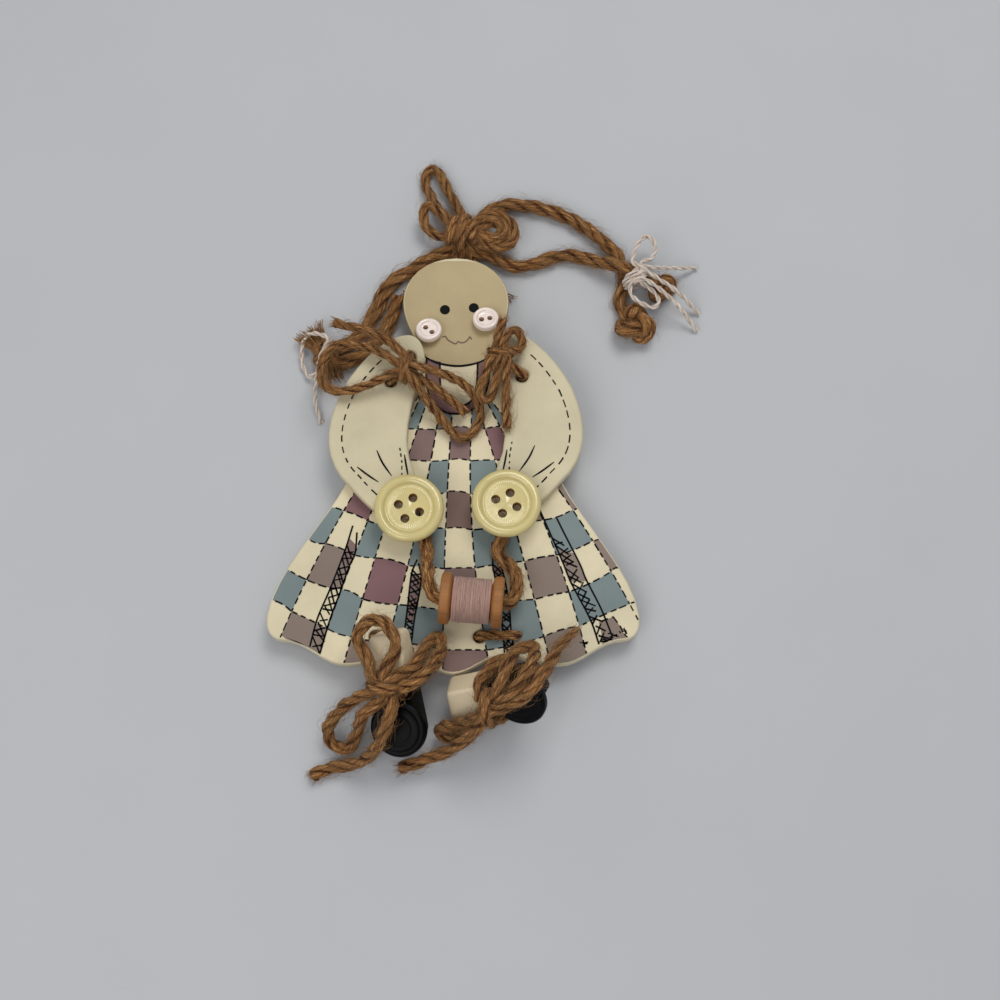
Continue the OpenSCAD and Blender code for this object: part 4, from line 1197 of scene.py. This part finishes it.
# Three heights, and where each line between two columns of patches lies at them
COLUMN_Y = (16.0, -5.0, -35.0)
COLUMNS = np.array([
    (-30, -46, -60),
    (-14, -26.2, -39.6),
    (-11.5, -19.5, -29.6),
    (-8.8, -15.2, -23.4),
    (-4.3, -8.0, -15.0),
    (-0.9, -1.8, -2.2),
    (3.8, 4.0, 7.4),
    (7.2, 13.3, 21.0),
    (11.0, 20.2, 29.6),
    (14.0, 28.4, 44.6),
    (30, 48, 64),
])
ROW_Y = np.array([24.5, 16.0, 8.3, 0.8, -8.0, -17.2, -26.6, -35.8, -47])
ROW_BEND = 0.0066
ROW_WAVE = 0.5
WAVES = np.random.default_rng(7).uniform(-1, 1, (len(ROW_Y), len(COLUMNS)))
# Cells by row and column: the two that the hem cuts away, and those that aren't teal or taupe
HEM_CORNERS = {(7, 0), (7, 9)}
PLUM_CELLS = {(1, 7), (3, 1), (5, 3), (3, 8)}
MAUVE_CELLS = {(1, 3), (1, 5), (5, 5), (7, 5)}
BROWN_CELLS = {(3, 5)}
MARGIN = 0.35


def column_x(column, y):
    """A column line's place at a height: on the board's edge, or on a curve through its given places."""
    if column in (0, len(COLUMNS) - 1):
        return (edge_x(y) - MARGIN) * (1 if column else -1)
    return np.polyval(np.polyfit(COLUMN_Y, COLUMNS[column], 2), y)


def corner(row, column):
    """Where a row line and a column line cross."""
    x = COLUMNS[column][1]
    for _ in range(12):
        y = ROW_Y[row] + ROW_BEND * x * x * (1 if row > 2 else 0.6) + ROW_WAVE * WAVES[row, column]
        x = column_x(column, y)
    return np.array([x, y])


def inside_board(points):
    """Points drawn in to the board's edge where they would pass it."""
    p = np.array(points, float)
    limit = edge_x(np.clip(p[..., 1], *EDGE_HEIGHTS)) - MARGIN
    p[..., 0] = np.clip(p[..., 0], -limit, limit)
    p[..., 1] = np.maximum(p[..., 1], hem_y(p[..., 0]) + MARGIN)
    return p


def hem_y(x):
    """The hem's height at a place across the board."""
    hem = OUTLINE["hem"]
    return np.interp(np.abs(x), hem[:, 0], hem[:, 1])


def row_line(row, column, count):
    """A row line's stretch across one column, with a slight sag."""
    a, b = corner(row, column), corner(row, column + 1)
    t = np.linspace(0, 1, count)[:, None]
    line = a + (b - a) * t
    line[:, 1] += ROW_WAVE * WAVES[row, column] * np.sin(math.pi * t[:, 0])
    return line


def column_line(column, row, count):
    """A column line's stretch down one row."""
    a, b = corner(row, column), corner(row + 1, column)
    y = np.linspace(a[1], b[1], count)
    return np.column_stack([column_x(column, y), y])


def cell(row, column, n=10):
    """Rows of points that fill one patch between its four lines."""
    top, bottom = row_line(row, column, n), row_line(row + 1, column, n)
    left, right = column_line(column, row, n), column_line(column + 1, row, n)
    u = np.linspace(0, 1, n)[None, :, None]
    v = np.linspace(0, 1, n)[:, None, None]
    points = (1 - v) * top[None] + v * bottom[None] + (1 - u) * left[:, None] + u * right[:, None]
    twice = (1 - u) * (1 - v) * top[0] + u * (1 - v) * top[-1]
    twice = twice + (1 - u) * v * bottom[0] + u * v * bottom[-1]
    return inside_board(points - twice)


def at_height(points, z):
    """Points in the plane, lifted to one height."""
    points = np.asarray(points, float)
    return np.concatenate([points, np.full((*points.shape[:-1], 1), z)], axis=-1)


# The layers of paint, counted in films, so that a later one lies over an earlier one
PATCH_LAYER = 1
FACE_LAYER = 1.2
COLLAR_LAYER = 1.3
FOLD_LAYER = 1.4


def patch(mesh, points, layer, pick=0):
    """A thin patch of paint on the board's face."""
    mesh.grid(at_height(points, FACE_Z + layer * FILM), pick)


def cell_paint(row, column):
    """The name of a patch's paint, or none where the board's cream shows."""
    if (row + column) % 2:
        return None
    if row % 2 == 0:
        return "teal"
    for cells, name in ((PLUM_CELLS, "plum"), (MAUVE_CELLS, "mauve"), (BROWN_CELLS, "brown")):
        if (row, column) in cells:
            return name
    return "taupe"


def stroke(mesh, points, width, z, taper=False):
    """A painted line, as a flat strip."""
    points = np.asarray(points, float)
    along = unit(np.gradient(points, axis=0))
    side = np.column_stack([-along[:, 1], along[:, 0]])
    half = np.full(len(points), width / 2)
    if taper:
        half = half * np.clip(np.sin(np.linspace(0.35, math.pi - 0.25, len(points))) + 0.12, 0, 1)
    left, right = points + side * half[:, None], points - side * half[:, None]
    mesh.grid(at_height(np.stack([left, right], axis=1)[:, ::-1], z))


STITCH = 1.7
STITCH_GAP = 0.75
STITCH_W = 0.36


def dashes(mesh, points, z, rng, dash=STITCH, gap=STITCH_GAP, width=STITCH_W, keep=None):
    """A line of painted stitches, only where keep allows."""
    path = even(np.asarray(points, float), 0.12)
    s = lengths(path)
    at = rng.uniform(0, gap)
    while at < s[-1] - 0.3:
        end = min(at + dash * rng.uniform(0.75, 1.25), s[-1])
        part = path[(s >= at) & (s <= end)]
        if keep:
            part = part[keep(part)]
        if len(part) > 3:
            stroke(mesh, part, width * rng.uniform(0.85, 1.15), z)
        at = end + gap * rng.uniform(0.7, 1.3)


COLLAR_OUTER = [
    (-6.8, 34), (-6.7, 27.5), (-5.4, 23.4), (-2.6, 20.6), (0.4, 20), (3.4, 20.6), (6.2, 23.4), (7.8, 27.5),
    (8, 33.4),
]
COLLAR_INNER = [
    (-3.7, 33), (-3.5, 27.5), (-2.7, 23.9), (-1.3, 22.3), (0.6, 21.9), (2.6, 22.3), (4.2, 23.9), (5.1, 27.5),
    (5.3, 33),
]
NECK = [(-8.6, 35.6), (-6.4, 33.7), (-3.6, 32.5), (0.3, 31.9), (3.8, 32.3), (6.6, 33.3), (8.8, 35.2)]


def within(points, outline):
    """Which points lie inside a closed outline."""
    (ax, ay), (bx, by) = outline.T, np.roll(outline, -1, axis=0).T
    x, y = points[:, :1], points[:, 1:]
    at = ax + (y - ay) * (bx - ax) / np.where(by == ay, 1e-9, by - ay)
    return np.sum(((ay > y) != (by > y)) & (x < at), axis=1) % 2 == 1


def on_board(points):
    """Which points lie on the dress, clear of the board's edge and of the collar."""
    clear = np.all(np.abs(inside_board(points) - points) < 0.02, axis=-1)
    return clear & ~within(points, curve(COLLAR_OUTER))


def crossings(ends, axis, level):
    """Where a level line meets a set of edges, as places along the other axis."""
    a, b = ends[:, 0, axis], ends[:, 1, axis]
    hit = ((a - level) * (b - level) <= 0) & (a != b)
    t = (level - a[hit]) / (b[hit] - a[hit])
    other = ends[hit][:, :, 1 - axis]
    return other[:, 0] + t * (other[:, 1] - other[:, 0])


def set_outline():
    """Read the board's right edge and hem from its CAD node."""
    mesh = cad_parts["body_board"].data
    points = np.array([v.co for v in mesh.vertices]) / MM
    ends = points[np.array([tuple(e.vertices) for e in mesh.edges])]
    ends = ends[np.all(np.abs(ends[:, :, 2] - FACE_Z) < 0.01, axis=1)][:, :, :2]
    heights = np.arange(CROWN[1] - 0.1, EDGE_DOWN_TO, -OUTLINE_STEP)
    places = np.arange(0, HEM_OUT_TO, OUTLINE_STEP)
    OUTLINE["right"] = np.array([(crossings(ends, 1, y).max(), y) for y in heights])
    OUTLINE["hem"] = np.array([(x, crossings(ends, 0, x).min()) for x in places])


# Each fold: its left and right lines, the paint in it and where along it that lies, where along it the
# scribble starts, and what share of its width the scribble takes
FOLDS = (
    (
        ((-23.2, -7), (-24.6, -12.1), (-26.3, -17.2), (-28.3, -22.7), (-30.6, -28.6), (-32.1, -35)),
        ((-22.2, -8.6), (-22.5, -13.5), (-23.8, -16.7), (-25.7, -22.7), (-27.7, -28.6), (-29.8, -36.6)),
        "mauve", (0.1, 0.3), 0.16, 1.0,
    ),
    (
        ((-8.3, -14.9), (-9.4, -17.7), (-9.8, -20.4), (-10.3, -25.9), (-10.9, -31.3), (-11.8, -38)),
        ((-8, -15.8), (-7.3, -19), (-7.7, -22.7), (-8.7, -28.6), (-9.5, -35.8), (-9.8, -38.4)),
        "mauve", (0.15, 0.6), 0.12, 1.0,
    ),
    (
        ((8.8, -10.9), (9, -16.9), (9.4, -18.8), (10.7, -26.8), (11.3, -32.3), (11.6, -36.4)),
        ((9.6, -11.5), (11.3, -18.1), (12.5, -24.3), (13.1, -31.6), (13.9, -36.4)),
        "mauve", (0.2, 0.4), 0.2, 1.0,
    ),
    (
        ((19.7, -3.2), (21.4, -7.2), (24.9, -15.6), (26.8, -20.5), (30.9, -28.7), (32.8, -34.4)),
        ((23.6, -5.2), (25, -8.2), (28.8, -16.1), (30.1, -19.5), (33.4, -26.3), (35.8, -32.6)),
        "taupe", (0.3, 0.55), 0.22, 0.72,
    ),
)
SCUFFS = ((29.4, -34.2), (38.2, -31.6), (36.4, -32.4), (35, -33.2), (34, -33.6))
# The left and right edges of the patch that the last fold cuts off at the hem
LAST_PATCH = (
    ((32.9, -29.4), (33.4, -32), (33.5, -34.8)),
    ((36.1, -28.2), (37.6, -30.3), (38.5, -32.1), (40, -33.4)),
)
FOLD_LINE_W = 0.42
SCUFF_STROKES = 8


def fold_line(points, count=90):
    """A smooth line through points, as a fixed number of points."""
    path = even(curve(points), 0.2)
    at = np.linspace(0, len(path) - 1, count).round().astype(int)
    return path[at]


def add_folds(cells, ink, rng, names):
    """Painted folds: pairs of lines that run down to the hem, with scribbled crosses between them."""
    edges = [fold_line(line, 16) for line in LAST_PATCH]
    patch(cells, inside_board(np.linspace(*edges, 10, axis=1)), PATCH_LAYER, names.index("taupe"))
    dashes(ink, [edges[0][0], *edges[1]], INK_Z, rng, keep=on_board)
    for left, right, fill, shade_at, first, wide in FOLDS:
        left, right = fold_line(left), fold_line(right)
        count = len(left)
        shaded = slice(*(int(count * f) for f in shade_at))
        patch(cells, np.stack([left, right], axis=1)[shaded], FOLD_LAYER, names.index(fill))
        for line in (left, right):
            stroke(ink, inside_board(line), FOLD_LINE_W, INK_Z)
        right = left + (right - left) * wide
        i = int(count * first)
        while i < count - 4:
            j = min(i + int(rng.integers(4, 9)), count - 1)
            for a, b in ((left[i], right[j]), (right[i], left[j])):
                reach = np.linspace(rng.uniform(-0.08, 0.2), rng.uniform(0.8, 1.08), 6)[:, None]
                line = a + (b - a) * reach + rng.uniform(-0.15, 0.15, 2)
                stroke(ink, inside_board(line), rng.uniform(0.32, 0.46), INK_Z)
            i += int(rng.integers(4, 7))
    for centre in SCUFFS:
        for _ in range(SCUFF_STROKES):
            a, b = rng.normal(0, 0.6, (2, 2)) * (1, 0.5)
            line = np.array(centre) + a + (b - a) * np.linspace(0, 1, 5)[:, None]
            if on_board(line).all():
                stroke(ink, line, rng.uniform(0.2, 0.4), INK_Z, taper=True)


COLLAR_LINE_W = 0.5
NECK_LINE_W = 0.55


def add_dress():
    """The patchwork with its stitches, the collar and the folds."""
    rng = np.random.default_rng(11)
    names = list(patch_paints)
    cells, ink = Mesh(), Mesh()
    rows, columns = len(ROW_Y) - 1, len(COLUMNS) - 1
    for row in range(rows):
        for column in range(columns):
            name = cell_paint(row, column)
            if name and (row, column) not in HEM_CORNERS:
                patch(cells, cell(row, column)[:, ::-1], PATCH_LAYER, names.index(name))
            if row < rows - 1:
                dashes(ink, row_line(row + 1, column, 24), INK_Z, rng, keep=on_board)
            if column > 0:
                dashes(ink, column_line(column, row, 24), INK_Z, rng, keep=on_board)
    t = np.linspace(0, 1, 60)
    lines, rim = [], []
    for points in (COLLAR_OUTER, COLLAR_INNER):
        line = even(curve(points), 0.5)
        at = np.linspace(0, 1, len(line))
        lines.append(line)
        rim.append(np.column_stack([np.interp(t, at, line[:, k]) for k in (0, 1)]))
    patch(cells, np.stack(rim, axis=1), COLLAR_LAYER, names.index("plum"))
    across = np.linspace(0, 1, 14)[None, :, None]
    yoke = (rim[1][:, None] * (1 - across) + rim[1][::-1][:, None] * across)[:30]
    neck = even(curve(NECK), 0.2)
    yoke[..., 1] = np.minimum(yoke[..., 1], np.interp(yoke[..., 0], neck[:, 0], neck[:, 1]))
    patch(cells, yoke, COLLAR_LAYER, len(names))
    for line in lines:
        stroke(ink, line, COLLAR_LINE_W, INK_Z)
    stroke(ink, even(curve(NECK), 0.4), NECK_LINE_W, FACE_Z + 1.5 * INK, taper=True)
    add_folds(cells, ink, rng, names)
    dress(cells.piece("dress_patches", [*patch_paints.values(), board_cream_lit]), "doll", "painted_wood")
    dress(ink.piece("dress_stitches", [ink_paint]), "doll", "painted_wood")


# Painted face

EYES = ((-2.6, 46.2), (4.3, 46.7))
EYE_R = 1.2
MOUTH = [
    (-3.2, 39.2), (-2.4, 39.4), (-1.9, 38.6), (-0.9, 37.9), (0.1, 37.5), (0.6, 38.1), (1.2, 37.8),
    (2.1, 37.9), (2.9, 38.5), (3.4, 39.3), (3.8, 38.6),
]
MOUTH_W = 0.3
# The face paint's top and lowest rows, how far it stays from the edge, and half its top row
FACE_Y = (58.9, 31.9)
FACE_MARGIN = 0.4
FACE_TOP_HALF = 2.2
FEATURE_Z = FACE_Z + 1.6 * INK


def add_face():
    face, ink, mouth = Mesh(), Mesh(), Mesh()
    chin = even(curve(NECK), 0.2)
    rows = []
    for level in np.linspace(*FACE_Y, 60):
        half = edge_x(level) - FACE_MARGIN if level < FACE_Y[0] - 0.3 else FACE_TOP_HALF
        x = np.linspace(-half, half, 40)
        rows.append(np.column_stack([x, np.maximum(level, np.interp(x, chin[:, 0], chin[:, 1]))]))
    patch(face, np.array(rows)[:, ::-1], FACE_LAYER)
    turns = np.linspace(0, 2 * math.pi, 33)
    for x0, y0 in EYES:
        disc = []
        for r in (EYE_R, 0.05):
            disc.append([(x0 + r * math.cos(a), y0 + r * math.sin(a)) for a in turns])
        ink.grid(at_height(disc, FEATURE_Z))
    stroke(mouth, even(curve(MOUTH), 0.2), MOUTH_W, FEATURE_Z)
    dress(face.piece("face_paint", [head_paint]), "doll", "painted_wood")
    dress(ink.piece("eyes", [ink_paint]), "doll", "painted_wood")
    dress(mouth.piece("mouth", [mouth_paint]), "doll", "painted_wood")


# Painted sleeves

ARM_X, ARM_Y = 7.4, 39.2
ARM_SHIFT = (0.4, 0.6)
ARM_W, ARM_L = 22.2, 43
HAND_X = 3.6
STITCH_IN = 3.1


def on_arm(side, points):
    """Points given from the right sleeve's inner top corner, put on either sleeve."""
    points = np.array(points, float)
    x = ARM_SHIFT[0] + side * (ARM_X + points[:, 0])
    return np.column_stack([x, side * ARM_SHIFT[1] + ARM_Y + points[:, 1]])


def sleeve_edge():
    """The outer edge of a sleeve, from its shoulder to its cuff."""
    wide, cuff = ARM_W, -ARM_L - 2.2
    upper, lower = (wide * 0.88, -ARM_L * 0.33), (wide * 0.76, -ARM_L * 0.86)
    return np.vstack([
        bezier((4, 0), (wide * 0.38, 0), (wide * 0.67, -ARM_L * 0.12), upper),
        bezier(upper, (wide * 1.06, -ARM_L * 0.56), (wide * 1.03, -ARM_L * 0.73), lower)[1:],
        bezier(lower, (wide * 0.6, -ARM_L * 0.96), (HAND_X + 5.5, cuff), (HAND_X + 1, cuff))[1:8],
    ])


GATHERS = (
    ((15.2, -32.6), (12.6, -34.6), (10.2, -36.2)),
    ((10.8, -28.6), (9.4, -31.6), (7.2, -34.8)),
    ((4.4, -29.6), (4.0, -32), (3.4, -35)),
)
CUFF_SEAM = ((5.6, -27.4), (5.0, -31), (4.9, -34.6))
GATHER_W = 0.42
# The share of the outer edge, from the shoulder on, that has no stitches
STITCH_FROM = 0.16


def add_sleeve_paint():
    """Stitches along each sleeve's outer edge, and gathers and a short seam above its cuff."""
    rng = np.random.default_rng(21)
    ink = Mesh()
    edge = even(sleeve_edge(), 0.5)
    along = unit(np.gradient(edge, axis=0))
    inner = edge + np.column_stack([along[:, 1], -along[:, 0]]) * STITCH_IN
    for side in (-1, 1):
        line = on_arm(side, inner[int(len(inner) * STITCH_FROM):])
        dashes(ink, line, ARM_Z + INK, rng, gap=1.0, width=0.32)
        for points in GATHERS:
            stroke(ink, even(curve(on_arm(side, points)), 0.3), GATHER_W, ARM_Z + INK, taper=True)
        dashes(ink, on_arm(side, CUFF_SEAM), ARM_Z + INK, rng, dash=0.9, gap=0.7, width=0.3)
    dress(ink.piece("sleeve_stitches", [ink_paint]), "doll", "painted_wood")


# Buttons

RIBS = 60
RIB_H = 0.018
RIB_FROM, RIB_TO = 3.4, 5.3
HOLE_EASE = 0.14
HOLE_SIDES = 28


def raise_ribs(mesh):
    """Fine ribs that fan out over the dish of a hand button."""
    x, y, z = mesh.verts[0].T
    r = np.hypot(x, y)
    fade = np.clip((r - RIB_FROM) / 0.6, 0, 1) * np.clip((RIB_TO - r) / 0.2, 0, 1) * (z > 1)
    mesh.verts[0][:, 2] += RIB_H * fade * np.sin(RIBS * np.arctan2(y, x))


def drilled(name, profile, holes, hole_d, materials, matrix, ribbed=False):
    """A turned button with eased sewing holes cut through it, whose walls take the last material: a darker
    copy of the button's colour that paints the shade in the holes.
    """
    body, drill = Mesh(), Mesh()
    lathe(body, profile, RIBS * 5)
    if ribbed:
        raise_ribs(body)
    for x, y in holes:
        place = np.array(Matrix.Translation((x, y, 0)))
        lathe(drill, [(hole_d / 2, -2), (hole_d / 2, 6)], HOLE_SIDES, 1, place)
    button, cutter = body.piece(name, materials), drill.piece(name + "_drill", materials)
    cut = button.modifiers.new("cut", "BOOLEAN")
    cut.object = cutter
    cut.solver = "EXACT"
    ease = button.modifiers.new("ease", "BEVEL")
    ease.width = HOLE_EASE * MM
    ease.segments = 2
    ease.limit_method = "ANGLE"
    ease.angle_limit = math.radians(55)
    bpy.context.view_layer.update()
    mesh = bpy.data.meshes.new_from_object(button.evaluated_get(bpy.context.evaluated_depsgraph_get()))
    button.modifiers.clear()
    bpy.data.objects.remove(cutter)
    place = Matrix(matrix.tolist())
    place.translation *= MM
    mesh.transform(place)
    button.data = mesh
    return button


HAND_BUTTONS = {"left": (-10.0, -4.4), "right": (12.0, -3.2)}
HAND_TURN = 70
HAND_PROFILE = [
    (0.01, 0), (6.3, 0), (7.1, 0.6), (7.75, 1.7), (7.95, 2.4), (7.7, 3.1), (7.1, 3.55), (6.4, 3.58),
    (5.9, 3.3), (5.5, 2.72), (5.2, 2.6), (4.9, 2.66), (4.4, 2.6), (3.9, 2.57), (3.4, 2.55), (2.4, 2.5),
    (0.01, 2.46),
]
HAND_HOLE_D = 2.1
HAND_HOLE_OUT = 2.55
CHEEK_PROFILE = [
    (0.01, 0), (1.7, 0.02), (2.9, 0.35), (3.1, 0.8), (3.1, 1.5), (2.95, 2.0), (2.6, 2.2), (2.25, 2.12),
    (1.95, 1.7), (1.6, 1.58), (0.01, 1.55),
]
# Each cheek button: its place, and the turn of its two holes in degrees
CHEEKS = {"left": ((-6.3, 40.1), -40), "right": ((7.2, 42.9), 10)}
CHEEK_R = 3.1
CHEEK_LEAN = 12
CHEEK_SINK = 0.3
CHEEK_HOLE_D = 1.3


def add_buttons():
    hand, cheek = rounded(HAND_PROFILE), rounded(CHEEK_PROFILE)
    for side, (x, y) in HAND_BUTTONS.items():
        angles = np.radians(HAND_TURN + 90 * np.arange(4))
        holes = np.column_stack([HAND_HOLE_OUT * np.cos(angles), HAND_HOLE_OUT * np.sin(angles)])
        matrix = np.array(Matrix.Translation((x, y, ARM_Z)))
        looks = [button_cream, button_hole_shade]
        button = drilled(f"hand_{side}", hand, holes, HAND_HOLE_D, looks, matrix, ribbed=True)
        dress(button, "doll", "cream_button", f"hand_button_{side}")
    for side, ((x, y), turn) in CHEEKS.items():
        a = math.radians(turn)
        holes = [(way * math.cos(a), way * math.sin(a)) for way in (-1, 1)]
        lift = CHEEK_R * math.sin(math.radians(CHEEK_LEAN)) - CHEEK_SINK
        lean = Matrix.Rotation(-math.radians(CHEEK_LEAN), 4, "X")
        matrix = np.array(Matrix.Translation((x, y, FACE_Z + lift)) @ lean)
        looks = [button_pearl, pearl_hole_shade]
        button = drilled(f"cheek_{side}", cheek, holes, CHEEK_HOLE_D, looks, matrix)
        dress(button, "doll", "pearl_button", f"cheek_button_{side}")


# Spool and thread

SPOOL_AT = (4.3, -25.6, 12.4)
SPOOL_SLOPE = -5
SPOOL_HALF = 7.0
WINDOW_HALF = 4.2
BORE_R = 1.8
# One end of the spool, from its bore to its barrel: radius, and distance from the end
SPOOL_END = [(BORE_R, 0.3), (2.1, 0), (5.4, 0), (5.8, 0.4), (5.8, 1.9), (5.4, 2.3), (3.5, 2.7)]
CORE_R = (3.6, 4.85)
THREAD_R = 0.14
THREAD_TURNS = 34
# The winding's radius, the share of the window that it fills, and how far it wanders along and off the spool
WOUND_R = 4.94
WOUND_SHARE = 0.97
WOUND_WANDER = 0.07
WOUND_LIFT = 0.05
# Loose turns over the winding: how many, their radius, their sweep in radians, how far from the middle
LOOSE_TURNS = 7
LOOSE_R = 5.1
LOOSE_SWEEP = 1.6
LOOSE_REACH = 3.4


def spool_frame():
    """The spool's own frame: its bore runs along Z."""
    slope = Matrix.Rotation(math.radians(SPOOL_SLOPE), 4, "Z")
    return np.array(Matrix.Translation(SPOOL_AT) @ slope @ Matrix.Rotation(math.radians(90), 4, "Y"))


def add_spool():
    """The turned spool, the inner layers of thread, and the outer layer.

    The outer layer is wound as one thread, with a few short loose turns laid over it.
    """
    matrix = spool_frame()
    left = [(r, -SPOOL_HALF + z) for r, z in SPOOL_END]
    right = [(r, -z) for r, z in reversed(left)]
    profile = rounded(left + right, 4)
    wood = Mesh()
    lathe(wood, [*profile, (BORE_R, 0), profile[0]], 72, 0, matrix, caps=False)
    dress(wood.piece("spool_turned", [spool_wood]), "spool", "spool_wood", "spool")
    rng = np.random.default_rng(31)
    core = Mesh()
    low, high = CORE_R
    layers = [(low, -WINDOW_HALF), (high, -WINDOW_HALF), (high, WINDOW_HALF), (low, WINDOW_HALF)]
    lathe(core, layers, 64, 0, matrix)
    dress(core.piece("thread_layers", [thread_pink]), "spool", "pink_thread", "thread_core")
    winding = Mesh()
    t = np.linspace(0, 1, THREAD_TURNS * 30)
    a = 2 * math.pi * THREAD_TURNS * t
    z = WINDOW_HALF * (2 * t - 1) * WOUND_SHARE + WOUND_WANDER * soft_noise(rng, len(t), THREAD_TURNS * 5)
    r = WOUND_R + WOUND_LIFT * soft_noise(rng, len(t), THREAD_TURNS * 3)
    winding.tube(carried(matrix, np.column_stack([r * np.cos(a), r * np.sin(a), z])), THREAD_R, 5)
    turn = np.linspace(0, LOOSE_SWEEP, 24)
    for _ in range(LOOSE_TURNS):
        a = rng.uniform(0, 2 * math.pi) + turn
        z = rng.uniform(-LOOSE_REACH, LOOSE_REACH) + rng.uniform(-0.5, 0.5) * turn
        path = np.column_stack([LOOSE_R * np.cos(a), LOOSE_R * np.sin(a), z])
        winding.tube(carried(matrix, path), THREAD_R * 0.9, 5, 0, rng.uniform(0, 50))
    dress(winding.piece("thread_turns", [thread_pink]), "spool", "pink_thread", "thread_winding")


# Floor

FLOOR_HALF = 900
FLOOR_TONES = [(0.25, srgb(189, 191, 195)), (0.75, srgb(192, 194, 198))]


def add_floor():
    look = Shader("floor", 0.75)
    here = look.place()
    look.colour(look.ramp(look.noise(here, scale=22, detail=5), FLOOR_TONES))
    look.bump(look.noise(here, scale=1200), distance=0.00008, strength=0.3)
    floor = Mesh()
    reach = np.linspace(-FLOOR_HALF, FLOOR_HALF, 7)
    floor.grid(np.stack(np.meshgrid(reach, reach, [0.0], indexing="ij"), axis=-1)[:, :, 0])
    obj = floor.piece("floor", [look.material])


set_outline()
add_boards()
add_dress()
add_face()
add_sleeve_paint()
add_buttons()
add_spool()
add_floor()
